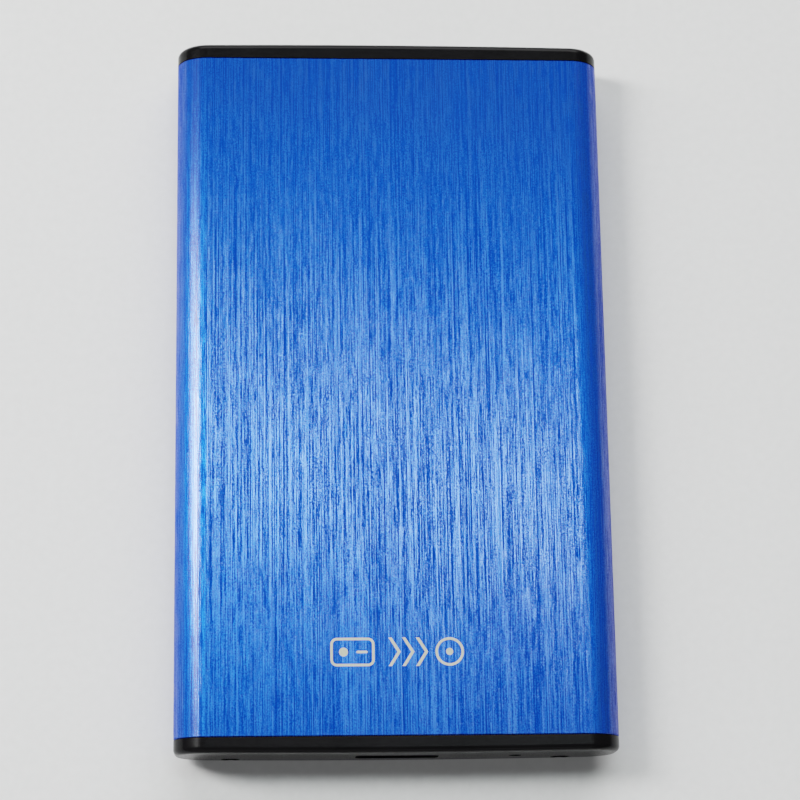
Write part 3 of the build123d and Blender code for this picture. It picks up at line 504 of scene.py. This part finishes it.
def grid(first, step, counts):
    """Places in columns and rows, from the first place on, given in millimetres."""
    columns, rows = counts
    return [
        ((first[0] + step[0] * i) * MM, (first[1] + step[1] * j) * MM)
        for i in range(columns)
        for j in range(rows)
    ]


def along_x(along, across, up):
    """A place on a prism that runs along X."""
    return (along, across, up)


def along_y(along, across, up):
    """A place on a prism that runs along Y."""
    return (across, along, up)


def prism(bm, profile, place, first, last):
    """A closed prism: (across, up) points, set in place by place(along, across, up)."""
    rims = [[bm.verts.new(place(along, a, u)) for a, u in profile] for along in (first, last)]
    bm.faces.new(rims[0])
    bm.faces.new(list(reversed(rims[1])))
    join_rims(bm, rims[1], rims[0])


def solids_of(node_name):
    """The boxes, as (lowest corner, highest corner), of the separate solids in a CAD node."""
    cad_object = nodes[node_name]
    same_place = 0.001 * MM
    keys = []
    places = {}
    leader = {}

    def find(key):
        while leader[key] != key:
            key = leader[key]
        return key

    for vertex in cad_object.data.vertices:
        place = cad_object.matrix_world @ vertex.co
        key = tuple(round(value / same_place) for value in place)
        keys.append(key)
        leader.setdefault(key, key)
        places.setdefault(key, place)
    for edge in cad_object.data.edges:
        first, second = (find(keys[i]) for i in edge.vertices)
        leader[first] = second
    solids = {}
    for key, place in places.items():
        solids.setdefault(find(key), []).append(place)
    boxes = []
    for solid in solids.values():
        corner_low = Vector(min(place[i] for place in solid) for i in range(3))
        corner_high = Vector(max(place[i] for place in solid) for i in range(3))
        boxes.append((corner_low, corner_high))
    return sorted(boxes, key=lambda box: tuple(box[0]))


# ------------------------------------------------------------------------- etched mark
MARK_CENTRE = (-0.1 * MM, -46.0 * MM)
MARK_WIDTH = 22.4 * MM
MARK_HEIGHT = 4.8 * MM
MARK_STROKE = 0.42 * MM
MARK_RISE = 0.012 * MM
# A case with a disc and a bar in it, at the left end.
CASE_WIDTH = 7.4 * MM
CASE_CORNER = 1.1 * MM
DISC_LEFT = 1.5 * MM
DISC_RADIUS = 0.75 * MM
BAR_RIGHT = 1.6 * MM
BAR_LENGTH = 1.9 * MM
BAR_CORNER = 0.2 * MM
# Chevrons in the middle, then a ring with a dot at the right end.
CHEVRON_COUNT = 3
CHEVRON_FIRST = 0.6 * MM
CHEVRON_STEP = 2.3 * MM
CHEVRON_REACH = 1.5 * MM
CHEVRON_STROKE = 1.35 * MARK_STROKE
DOT_RADIUS = 0.6 * MM


def mark_plate(bm, points):
    """A filled part of the mark."""
    raised_plate(bm, points, sleeve_top, MARK_RISE)


def mark_band(bm, outer, inner):
    """A drawn line of the mark, round a closed outline."""
    raised_band(bm, outer, inner, sleeve_top, MARK_RISE)


def mark_case(bm, centre_x, centre_y):
    """A rounded frame with a disc and a bar in it."""
    centre = (centre_x, centre_y)
    inner_width = CASE_WIDTH - 2 * MARK_STROKE
    inner_height = MARK_HEIGHT - 2 * MARK_STROKE
    mark_band(
        bm,
        rounded_points(centre, CASE_WIDTH, MARK_HEIGHT, CASE_CORNER),
        rounded_points(centre, inner_width, inner_height, CASE_CORNER - MARK_STROKE),
    )
    mark_plate(bm, circle_points((centre_x - DISC_LEFT, centre_y), DISC_RADIUS))
    bar_centre = (centre_x + BAR_RIGHT, centre_y)
    mark_plate(bm, rounded_points(bar_centre, BAR_LENGTH, MARK_STROKE, BAR_CORNER, steps=5))


def mark_chevron(bm, tip_x, centre_y):
    """An arrowhead that points along X, with its tip at tip_x."""
    half = MARK_HEIGHT / 2
    back_x = tip_x - CHEVRON_REACH
    outline = [
        (tip_x, centre_y),
        (back_x, centre_y + half),
        (back_x - CHEVRON_STROKE, centre_y + half),
        (tip_x - CHEVRON_STROKE, centre_y),
        (back_x - CHEVRON_STROKE, centre_y - half),
        (back_x, centre_y - half),
    ]
    mark_plate(bm, outline)


def mark_ring(bm, centre, radius):
    """A ring with a dot in it."""
    mark_band(bm, circle_points(centre, radius), circle_points(centre, radius - MARK_STROKE))
    mark_plate(bm, circle_points(centre, DOT_RADIUS))


def etched_mark():
    """An abstract mark: a case with a disc in it, three chevrons, and a ring with a dot."""
    bm = bmesh.new()
    centre_x, centre_y = MARK_CENTRE
    mark_case(bm, centre_x - MARK_WIDTH / 2 + CASE_WIDTH / 2, centre_y)
    for i in range(CHEVRON_COUNT):
        mark_chevron(bm, centre_x + CHEVRON_FIRST + CHEVRON_STEP * i, centre_y)
    ring_radius = MARK_HEIGHT / 2
    mark_ring(bm, (centre_x + MARK_WIDTH / 2 - ring_radius, centre_y), ring_radius)
    to_object("etched_mark", bm, "case", "hub_aluminium", "etched_metal")


etched_mark()


# ------------------------------------------------------------------------- foam pieces
FOAM_CROWN = 0.16        # how far the free face falls at its edges, in half thicknesses
FOAM_CROWN_POWER = 6     # a higher power keeps more of the face flat
FOAM_PULL = 0.12 * MM    # how far the sides pull in
FOAM_PULL_POWER = 8
LONG_SIDE = 8 * MM


def edge_steps(first, last, radius, middle):
    """Coordinates from first to last: close together at both ends, and even between."""
    near = [radius * step for step in (0.0, 0.3, 0.65, 1.0)]
    span = last - first - 2 * radius
    inner = [first + radius + span * i / (middle + 1) for i in range(1, middle + 1)]
    return [first + d for d in near] + inner + [last - d for d in reversed(near)]


def foam_block(bm, corner_low, corner_high, radius, free_axis):
    """A foam block with soft edges, and sides that pull in a little.

    Its face towards the low side of free_axis is free, and crowned.
    """
    steps = []
    for first, last in zip(corner_low, corner_high):
        middle = 10 if last - first > LONG_SIDE else 3
        steps.append(edge_steps(first, last, radius, middle))
    counts = [len(values) - 1 for values in steps]
    centre = (corner_low + corner_high) / 2
    half = (corner_high - corner_low) / 2
    side_axes = [i for i in range(3) if i != free_axis]
    made = {}

    def shaped(offset):
        """A point of the plain block, counted from its centre, moved to the soft form."""
        core = Vector(max(-half[i] + radius, min(half[i] - radius, offset[i])) for i in range(3))
        out = offset - core
        if out.length > 0:
            offset = core + out.normalized() * radius
        share = [offset[i] / half[i] for i in range(3)]
        if offset[free_axis] < 0:
            edge = max(abs(share[i]) for i in side_axes) ** FOAM_CROWN_POWER
            offset[free_axis] += FOAM_CROWN * half[free_axis] * edge
        waist = 1.0 - share[free_axis] ** 2
        for i in side_axes:
            pull = FOAM_PULL * waist * abs(share[i]) ** FOAM_PULL_POWER
            offset[i] -= math.copysign(pull, offset[i])
        return offset

    def vertex(*index):
        if index not in made:
            place = Vector(steps[i][index[i]] for i in range(3))
            made[index] = bm.verts.new(centre + shaped(place - centre))
        return made[index]

    for axis in range(3):
        first, second = (i for i in range(3) if i != axis)
        for side in (0, counts[axis]):
            for i in range(counts[first]):
                for j in range(counts[second]):
                    corners = []
                    for step_i, step_j in ((0, 0), (1, 0), (1, 1), (0, 1)):
                        index = [0, 0, 0]
                        index[axis] = side
                        index[first] = i + step_i
                        index[second] = j + step_j
                        corners.append(vertex(*index))
                    bm.faces.new(corners)


def smooth(piece):
    """Shades a piece as one smooth surface."""
    for polygon in piece.data.polygons:
        polygon.use_smooth = True


def foam_pieces():
    """The pads on the sleeve's ceiling, and the buffer on the rear cap."""
    bm = bmesh.new()
    for corner_low, corner_high in solids_of("ceiling_pads"):
        foam_block(bm, corner_low, corner_high, radius=0.35 * MM, free_axis=2)
    pads = to_object("ceiling_foam", bm, "case", "foam")
    smooth(pads)
    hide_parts("ceiling_pads")

    bm = bmesh.new()
    corner_low, corner_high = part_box("rear_buffer")
    foam_block(bm, corner_low, corner_high, radius=0.6 * MM, free_axis=1)
    buffer = to_object("rear_foam", bm, "rear_end", "foam")
    smooth(buffer)
    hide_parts("rear_buffer")


foam_pieces()


# --------------------------------------------------------------- bridge board's details
board_low, board_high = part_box("bridge_board")
PAD_RISE = 0.03 * MM
PRINT_RISE = 0.015 * MM
PRINT_WIDTH = 0.14 * MM
PRINT_CORNER = 0.4 * MM
# The plated ends of a chip part, and the solder at each of them.
TIN_SHELL = 0.02 * MM
TIN_CORNER = 0.05 * MM
TIN_LENGTH = 0.22 * MM
SOLDER_REACH = 0.32 * MM
SOLDER_CLIMB = 0.7       # of the part's height
SOLDER_STEPS = 5
# The solder pads in rows along the bridge chip's four sides.
CHIP_PAD_PITCH = 0.5 * MM
CHIP_PAD_HALF = 0.14 * MM
CHIP_PAD_LENGTH = 0.3 * MM
CHIP_PAD_TAPER = 0.7
# Test pads, and the outer and inner radius of the rings round the screws.
SMALL_PAD_RADIUS = 0.34 * MM
TEST_PAD_RADIUS = 0.5 * MM
BOARD_SCREW_RING = (1.9 * MM, 1.2 * MM)
# Plated holes, and how far they keep from each other and from the parts.
VIA_RING = (0.22 * MM, 0.1 * MM)
VIA_SPACING = 1.1 * MM
VIA_MARGIN = 0.4 * MM


def solder_end(bm, corner_low, corner_high, axis, side):
    """A plated end on a chip part, with a hollow fillet of solder from it to the board."""
    across = 1 - axis
    lengthways, sideways = (along_x, along_y) if axis == 0 else (along_y, along_x)
    end = corner_high[axis] if side > 0 else corner_low[axis]
    side_low = corner_low[across] - TIN_SHELL
    side_high = corner_high[across] + TIN_SHELL
    bottom = corner_low.z
    top = corner_high.z + TIN_SHELL
    cap = [
        (side_low, bottom),
        (side_high, bottom),
        (side_high, top - TIN_CORNER),
        (side_high - TIN_CORNER, top),
        (side_low + TIN_CORNER, top),
        (side_low, top - TIN_CORNER),
    ]
    prism(bm, cap, lengthways, end - side * TIN_LENGTH, end + side * TIN_SHELL)
    climb = SOLDER_CLIMB * (top - bottom)
    fillet = [(end, bottom)]
    for step in range(SOLDER_STEPS + 1):
        angle = step / SOLDER_STEPS * math.pi / 2
        out = end + side * SOLDER_REACH * (1 - math.sin(angle))
        fillet.append((out, bottom + climb * (1 - math.cos(angle))))
    prism(bm, fillet, sideways, side_low + TIN_CORNER, side_high - TIN_CORNER)


def chip_pads(bm, chip_low, chip_high):
    """Rows of solder pads on the bridge board, along the four sides of a chip."""
    base_z = board_high.z
    for axis in (0, 1):
        across = 1 - axis
        place = along_x if axis == 0 else along_y
        count = int((chip_high[across] - chip_low[across]) / CHIP_PAD_PITCH) - 1
        middle = (chip_high[across] + chip_low[across]) / 2
        for i in range(count):
            at = middle + (i - (count - 1) / 2) * CHIP_PAD_PITCH
            pad = [
                (at - CHIP_PAD_HALF, base_z),
                (at + CHIP_PAD_HALF, base_z),
                (at + CHIP_PAD_HALF * CHIP_PAD_TAPER, base_z + PAD_RISE),
                (at - CHIP_PAD_HALF * CHIP_PAD_TAPER, base_z + PAD_RISE),
            ]
            for edge, side in ((chip_low[axis], -1), (chip_high[axis], 1)):
                prism(bm, pad, place, edge, edge + side * CHIP_PAD_LENGTH)


def solder_joints():
    """Plated ends and solder on the small parts, and the pads round the bridge chip."""
    bm = bmesh.new()
    lying_along_x = ("capacitors", "crystal", "power_inductor", "status_led")
    for part_name in (*lying_along_x, "resistors"):
        axis = 0 if part_name in lying_along_x else 1
        for corner_low, corner_high in solids_of(part_name):
            for side in (-1, 1):
                solder_end(bm, corner_low, corner_high, axis, side)
    chip_low, chip_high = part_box("bridge_chip")
    chip_pads(bm, chip_low, chip_high)
    to_object("solder_joints", bm, "carriage", "can_metal", "solder")


def pad_ring(bm, centre, radii, base_z, count):
    """A plated ring, with an outer and an inner radius."""
    outline, hole = (circle_points(centre, radius, count) for radius in radii)
    raised_band(bm, outline, hole, base_z, PAD_RISE)


def clear_of(point, boxes, margin):
    """True where a point is outside every box by a margin."""
    return all(
        not (
            corner_low[0] - margin < point[0] < corner_high[0] + margin
            and corner_low[1] - margin < point[1] < corner_high[1] + margin
        )
        for corner_low, corner_high in boxes
    )


def scattered_vias(bm, area_low, area_high, boxes, base_z, count, seed):
    """Small plated holes, scattered over an area and clear of the parts on it."""
    draw = random.Random(seed)
    placed = []
    while len(placed) < count:
        point = tuple(draw.uniform(area_low[i], area_high[i]) for i in range(2))
        near = any(math.dist(point, other) < VIA_SPACING for other in placed)
        if near or not clear_of(point, boxes, VIA_MARGIN):
            continue
        placed.append(point)
        pad_ring(bm, point, VIA_RING, base_z, count=14)


def board_pads():
    """Gold test pads, rings round the screws, and vias on the bridge board."""
    bm = bmesh.new()
    base_z = board_high.z
    for centre in grid(first=(-5.4, -53.1), step=(1.8, 0.0), counts=(6, 1)):
        raised_plate(bm, circle_points(centre, SMALL_PAD_RADIUS, 24), base_z, PAD_RISE)
    for centre in grid(first=(17.6, -49.8), step=(2.0, 1.6), counts=(3, 2)):
        raised_plate(bm, circle_points(centre, TEST_PAD_RADIUS, 24), base_z, PAD_RISE)
    for corners in solids_of("board_screws"):
        pad_ring(bm, middle_of(*corners), BOARD_SCREW_RING, base_z, count=40)

    boxes = [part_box(name) for name in ("bridge_chip", "flash_chip", "crystal", "power_inductor")]
    boxes += [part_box(name) for name in ("usb_socket_shell", "sata_socket", "sata_socket_contacts")]
    for name in ("capacitors", "resistors", "status_led", "board_screws"):
        boxes += solids_of(name)
    area_low = (board_low.x + 1.2 * MM, board_low.y + 1.0 * MM)
    area_high = (board_high.x - 1.2 * MM, -52.6 * MM)
    scattered_vias(bm, area_low, area_high, boxes, base_z, count=46, seed=7)
    to_object("board_pads", bm, "carriage", "contact_gold")


def outline_print(bm, corner_low, corner_high, margin, base_z):
    """A printed line round a part."""
    centre = middle_of(corner_low, corner_high)
    width = corner_high[0] - corner_low[0] + 2 * margin
    depth = corner_high[1] - corner_low[1] + 2 * margin
    outer = rounded_points(centre, width, depth, PRINT_CORNER, steps=4)
    inner = rounded_points(
        centre, width - 2 * PRINT_WIDTH, depth - 2 * PRINT_WIDTH, PRINT_CORNER - PRINT_WIDTH, steps=4
    )
    raised_band(bm, outer, inner, base_z, PRINT_RISE)


def board_print():
    """White outlines and a first-pin dot on the bridge board, without lettering."""
    bm = bmesh.new()
    base_z = board_high.z
    for name in ("bridge_chip", "flash_chip", "crystal", "power_inductor"):
        corner_low, corner_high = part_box(name)
        outline_print(bm, corner_low, corner_high, 0.55 * MM, base_z)
    chip_low, chip_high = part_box("bridge_chip")
    dot = (chip_low.x - 0.95 * MM, chip_high.y + 0.2 * MM)
    raised_plate(bm, circle_points(dot, 0.22 * MM, 20), base_z, PRINT_RISE)
    for corner_low, corner_high in solids_of("capacitors"):
        outline_print(bm, corner_low, corner_high, 0.5 * MM, base_z)
    to_object("board_print", bm, "carriage", "label_paper", "board_ink")


solder_joints()
board_pads()
board_print()


# ------------------------------------------------------------ details under the drive
drive_board_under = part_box("drive_board")[0].z
DRIVE_SCREW_RING = (2.1 * MM, 1.15 * MM)
# The width, depth and corner radius of the pads that the motor and the heads connect to.
MOTOR_PAD = (1.5 * MM, 2.4 * MM, 0.4 * MM)
HEAD_PAD = (0.5 * MM, 1.4 * MM, 0.15 * MM)


def drive_board_pads():
    """Test pads, motor and head connector pads and vias under the drive's board."""
    bm = bmesh.new()
    base_z = drive_board_under - PAD_RISE
    for centre in grid(first=(-20.0, -41.6), step=(1.9, 1.9), counts=(9, 2)):
        raised_plate(bm, circle_points(centre, TEST_PAD_RADIUS, 22), base_z, PAD_RISE)
    for centre in grid(first=(-4.2, -18.2), step=(2.8, 0.0), counts=(4, 1)):
        raised_plate(bm, rounded_points(centre, *MOTOR_PAD, steps=4), base_z, PAD_RISE)
    for centre in grid(first=(3.6, -34.2), step=(1.0, 2.6), counts=(10, 2)):
        raised_plate(bm, rounded_points(centre, *HEAD_PAD, steps=3), base_z, PAD_RISE)
    boxes = solids_of("drive_board_screws")
    for corners in boxes:
        pad_ring(bm, middle_of(*corners), DRIVE_SCREW_RING, base_z, count=40)

    # The vias keep off the test pads, the head pads, and the spindle with the motor pads.
    boxes.append(((-21.0 * MM, -42.6 * MM), (-3.8 * MM, -38.7 * MM)))
    boxes.append(((2.6 * MM, -35.4 * MM), (13.6 * MM, -30.4 * MM)))
    boxes.append(((-8.0 * MM, -20.0 * MM), (8.0 * MM, 0.0)))
    area_low, area_high = (-26.6 * MM, -44.0 * MM), (26.6 * MM, -10.0 * MM)
    scattered_vias(bm, area_low, area_high, boxes, base_z, count=110, seed=12)
    to_object("drive_board_pads", bm, "carriage", "contact_gold")


def drive_board_print():
    """White outlines under the drive's board, round its chips, test pads and head pads."""
    bm = bmesh.new()
    base_z = drive_board_under - PRINT_RISE
    for corner_low, corner_high in solids_of("drive_board_chips"):
        outline_print(bm, corner_low, corner_high, 0.5 * MM, base_z)
    test_pads = ((-21.2 * MM, -42.8 * MM), (-3.6 * MM, -38.5 * MM))
    head_pads = ((2.6 * MM, -35.6 * MM), (13.6 * MM, -30.2 * MM))
    for corner_low, corner_high in (test_pads, head_pads):
        outline_print(bm, corner_low, corner_high, 0.0, base_z)
    to_object("drive_board_print", bm, "carriage", "label_paper", "board_ink")


drive_board_pads()
drive_board_print()


# ------------------------------------------------------------ details on the drive's top
LABEL_INSET = 1.5 * MM       # from the label's edge to its printed frame
LABEL_CORNER = 1.0 * MM
LABEL_RISE = 0.006 * MM
LABEL_LINE = 0.3 * MM
LABEL_GAP = 1.5 * MM         # from the frame to the ends of the band and the rules
BAND_DEPTH = 5.4 * MM
BAND_DOWN = 4.6 * MM         # from the frame's far side to the band's middle
BAND_CORNER = 0.8 * MM
RULE_COUNT = 4
RULE_FIRST = 5.5 * MM
RULE_STEP = 5.6 * MM
SEAL_CENTRE = (18.0 * MM, -27.0 * MM)
SEAL_DEPTH = 0.15 * MM       # how far the seal's place is pressed into the cover
# From the middle out, as (radius, height) in millimetres.
SEAL_PROFILE = ((2.6, 0.05), (2.9, 0.02), (3.2, 0.05), (4.6, 0.05), (4.9, 0.0))
SEAL_POINTS = 64


def label_print():
    """A printed frame, a solid band and ruled lines on the drive's blank label."""
    bm = bmesh.new()
    label_low, label_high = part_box("drive_label")
    centre = (label_low + label_high) / 2
    width, depth, _ = (label_high - label_low) - Vector((2 * LABEL_INSET, 2 * LABEL_INSET, 0))
    base_z = label_high.z
    raised_band(
        bm,
        rounded_points(centre, width, depth, LABEL_CORNER),
        rounded_points(
            centre, width - 2 * LABEL_LINE, depth - 2 * LABEL_LINE, LABEL_CORNER - LABEL_LINE
        ),
        base_z,
        LABEL_RISE,
    )
    length = width - 2 * LABEL_GAP
    band_centre = (centre.x, centre.y + depth / 2 - BAND_DOWN)
    band = rounded_points(band_centre, length, BAND_DEPTH, BAND_CORNER)
    raised_plate(bm, band, base_z, LABEL_RISE)
    for i in range(RULE_COUNT):
        rule_centre = (centre.x, centre.y + RULE_FIRST - RULE_STEP * i)
        rule = rounded_points(rule_centre, length, LABEL_LINE, 0.45 * LABEL_LINE, steps=4)
        raised_plate(bm, rule, base_z, LABEL_RISE)
    to_object("label_print", bm, "carriage", "label_paper", "label_ink")


def foil_seal():
    """A round foil seal pressed on the cover, with a rim where it is stuck down."""
    bm = bmesh.new()
    base_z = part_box("drive_cover")[1].z - SEAL_DEPTH
    rims = [
        rim(bm, circle_points(SEAL_CENTRE, radius * MM, SEAL_POINTS), base_z + height * MM)
        for radius, height in SEAL_PROFILE
    ]
    bm.faces.new(rims[0])
    for first, second in zip(rims, rims[1:]):
        join_rims(bm, first, second)
    bm.faces.new(list(reversed(rims[-1])))
    to_object("foil_seal", bm, "carriage", "can_metal", "foil")


label_print()
foil_seal()


# ------------------------------------------------------- flexible circuit to the head arm
FLEX_PLATE = (12.0 * MM, 5.5 * MM, 0.7 * MM)
FLEX_PLATE_CORNER = 0.8 * MM
FLEX_THICKNESS = 0.12 * MM
ARM_HUB_RADIUS = 5.4 * MM
# Where the ribbon starts, from the plate's middle and from its far edge, and how high.
RIBBON_LEFT = 4.0 * MM
RIBBON_IN = 0.3 * MM
RIBBON_LIFT = 0.6 * MM
# How far the curve's middle points lie from its ends.
START_PULL = Vector((1.0, 5.2)) * MM
TOUCH_PULL = 5.0 * MM
# The ribbon meets the hub's side at the first of these angles and ends at the second.
HUB_FIRST = math.radians(-60)
HUB_LAST = math.radians(-92)
CURVE_STEPS = 32
HUB_STEPS = 8
CONNECTOR_SIZE = (10.6 * MM, 2.2 * MM, 0.7 * MM)
CONNECTOR_CORNER = 0.3 * MM
CONTACT_COUNT = 14
CONTACT_PITCH = 0.7 * MM
CONTACT_SIZE = (0.3 * MM, 0.7 * MM, 0.1 * MM)
CONTACT_CORNER = 0.05 * MM
CONTACT_OUT = 1.45 * MM      # from the connector's middle line to its contacts


def upright_band(bm, path, thickness, low_z, high_z):
    """A thin band that stands on edge and follows a path of (x, y) points."""
    rims = []
    for i, point in enumerate(path):
        before = path[max(i - 1, 0)]
        after = path[min(i + 1, len(path) - 1)]
        ahead = (after - before).normalized()
        side = Vector((-ahead.y, ahead.x)) * thickness / 2
        left, right = point + side, point - side
        corners = ((left, low_z), (right, low_z), (right, high_z), (left, high_z))
        rims.append([bm.verts.new((corner.x, corner.y, z)) for corner, z in corners])
    bm.faces.new(rims[0])
    bm.faces.new(list(reversed(rims[-1])))
    for first, second in zip(rims, rims[1:]):
        join_rims(bm, second, first)


def cubic_point(controls, t):
    """A point on the cubic curve with four control points."""
    weights = ((1 - t) ** 3, 3 * t * (1 - t) ** 2, 3 * t**2 * (1 - t), t**3)
    return sum((weight * point for weight, point in zip(weights, controls)), Vector((0, 0)))


def flex_ribbon(plate_centre, flex_low, flex_high):
    """The ribbon leaves the plate, curves round, and lies on the hub's side at its end."""
    bm = bmesh.new()
    plate_width, plate_depth, plate_height = FLEX_PLATE
    plate = rounded_points(plate_centre, plate_width, plate_depth, FLEX_PLATE_CORNER)
    raised_plate(bm, plate, flex_low.z, plate_height)

    hub_low, hub_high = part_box("pivot_bearing")
    hub = (hub_low + hub_high).xy / 2
    radius = ARM_HUB_RADIUS + FLEX_THICKNESS / 2
    start = Vector((plate_centre[0] - RIBBON_LEFT, flex_low.y + plate_depth - RIBBON_IN))
    touch = hub + radius * Vector((math.cos(HUB_FIRST), math.sin(HUB_FIRST)))
    heading = Vector((math.sin(HUB_FIRST), -math.cos(HUB_FIRST)))
    controls = (start, start + START_PULL, touch - TOUCH_PULL * heading, touch)
    path = [cubic_point(controls, i / CURVE_STEPS) for i in range(CURVE_STEPS + 1)]
    for i in range(1, HUB_STEPS + 1):
        angle = HUB_FIRST + (HUB_LAST - HUB_FIRST) * i / HUB_STEPS
        path.append(hub + radius * Vector((math.cos(angle), math.sin(angle))))
    upright_band(bm, path, FLEX_THICKNESS, flex_low.z + RIBBON_LIFT, flex_high.z)
    ribbon = to_object("flex_ribbon", bm, None, "flex_film")
    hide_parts("flex_circuit")
    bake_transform(ribbon)


def flex_connector(plate_centre, plate_z):
    """The connector on the ribbon's stiff end, with a row of contacts on each side."""
    bm = bmesh.new()
    width, depth, height = CONNECTOR_SIZE
    body = rounded_points(plate_centre, width, depth, CONNECTOR_CORNER)
    raised_plate(bm, body, plate_z, height)
    to_object("flex_connector", bm, "carriage", "connector_plastic")

    bm = bmesh.new()
    width, depth, height = CONTACT_SIZE
    for i in range(CONTACT_COUNT):
        x = plate_centre[0] + (i - (CONTACT_COUNT - 1) / 2) * CONTACT_PITCH
        for side in (-1, 1):
            foot = (x, plate_centre[1] + side * CONTACT_OUT)
            outline = rounded_points(foot, width, depth, CONTACT_CORNER, steps=2)
            raised_plate(bm, outline, plate_z, height)
    to_object("flex_contacts", bm, "carriage", "contact_gold")


def flexible_circuit():
    """The stiff end on the drive's floor, the ribbon to the arm's hub, and a connector."""
    flex_low, flex_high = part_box("flex_circuit")
    plate_width, plate_depth, plate_height = FLEX_PLATE
    plate_centre = (flex_high.x - plate_width / 2, flex_low.y + plate_depth / 2)
    flex_ribbon(plate_centre, flex_low, flex_high)
    flex_connector(plate_centre, flex_low.z + plate_height)


flexible_circuit()


# -------------------------------------------------------------------- camera and stage
# The camera stands 420 mm from the middle of the top face and looks down on it, from
# beyond the end with the mark and a little to the left.
CAMERA_PLACE = Vector((-25.1, -104.2, 406.8)) * MM + Vector((0, 0, sleeve_top))
CAMERA_RIGHT = Vector((0.99807, -0.01506, 0.06031))
CAMERA_UP = Vector((0.0, 0.9702, 0.24233))
LENS_MM = 110.16
SENSOR_MM = 36.0
FLOOR_GAP = 0.1 * MM
FLOOR_SIZE = 3.0
WHITE = (1.0, 1.0, 1.0)


def add_camera():
    """The scene's camera, set by its place and by its right and upward directions."""
    camera = bpy.data.objects.new("camera", bpy.data.cameras.new("camera"))
    camera.data.lens = LENS_MM
    camera.data.sensor_width = SENSOR_MM
    camera.data.clip_start = 10 * MM
    right = CAMERA_RIGHT.normalized()
    back = right.cross(CAMERA_UP).normalized()
    up = back.cross(right)
    turn = Matrix((right, up, back)).transposed().to_4x4()
    camera.matrix_world = Matrix.Translation(CAMERA_PLACE) @ turn
    bpy.context.scene.collection.objects.link(camera)
    bpy.context.scene.camera = camera


def add_floor():
    """A large pale sheet that the case lies on."""
    bm = bmesh.new()
    bmesh.ops.create_grid(bm, x_segments=1, y_segments=1, size=FLOOR_SIZE)
    mesh = bpy.data.meshes.new("floor")
    bm.to_mesh(mesh)
    bm.free()
    floor = bpy.data.objects.new("floor", mesh)
    floor.location = (0, 0, cad_box[0].z - FLOOR_GAP)
    shader = Shader("floor_paper")
    grain = shader.noise((1.5, 1.5, 1.5), detail=4.0)
    shader.colour(grain, (0.3, (0.77, 0.77, 0.76)), (0.7, (0.81, 0.81, 0.80)))
    shader.set(roughness=0.9, specular_ior_level=0.1)
    mesh.materials.append(shader.material)
    bpy.context.scene.collection.objects.link(floor)


def add_world():
    """A faint, slightly blue light from all round."""
    world = bpy.data.worlds.new("studio")
    world.use_nodes = True
    background = world.node_tree.nodes["Background"]
    background.inputs["Color"].default_value = (0.92, 0.95, 1.0, 1.0)
    background.inputs["Strength"].default_value = 0.09
    bpy.context.scene.world = world


def add_softbox(name, towards, distance, size, power, colour=WHITE):
    """A rectangular light that faces the case, in metres and watts."""
    light = bpy.data.lights.new(name, "AREA")
    light.shape = "RECTANGLE"
    light.size, light.size_y = size
    light.energy = power
    light.color = colour
    lamp = bpy.data.objects.new(name, light)
    direction = Vector(towards).normalized()
    lamp.location = direction * distance
    lamp.rotation_euler = direction.to_track_quat("Z", "Y").to_euler()
    bpy.context.scene.collection.objects.link(lamp)


def add_lights():
    """A strip overhead makes the bright field on the top face, and two on the left make
    the line of light along that edge. The other two are large, and fill the rest.
    """
    add_softbox(
        "overhead",
        towards=(0.073, 0.25, 1.2),
        distance=1.226,
        size=(0.5, 0.12),
        power=3.2,
        colour=(0.88, 1.0, 1.0),
    )
    add_softbox("fill", towards=(0.1, 0.8, 0.6), distance=2.2, size=(2.6, 1.6), power=66.0)
    add_softbox("left", towards=(-0.6, 0.2, 0.8), distance=0.8, size=(0.15, 0.24), power=3.4)
    add_softbox("left_wide", towards=(-0.7, 0.2, 0.68), distance=0.8, size=(0.15, 0.55), power=4.2)
    add_softbox("front", towards=(-0.3, -0.9, 0.5), distance=2.2, size=(2.4, 1.2), power=7.0)


add_camera()
add_floor()
add_world()
add_lights()
bpy.context.scene.view_settings.view_transform = "Filmic"
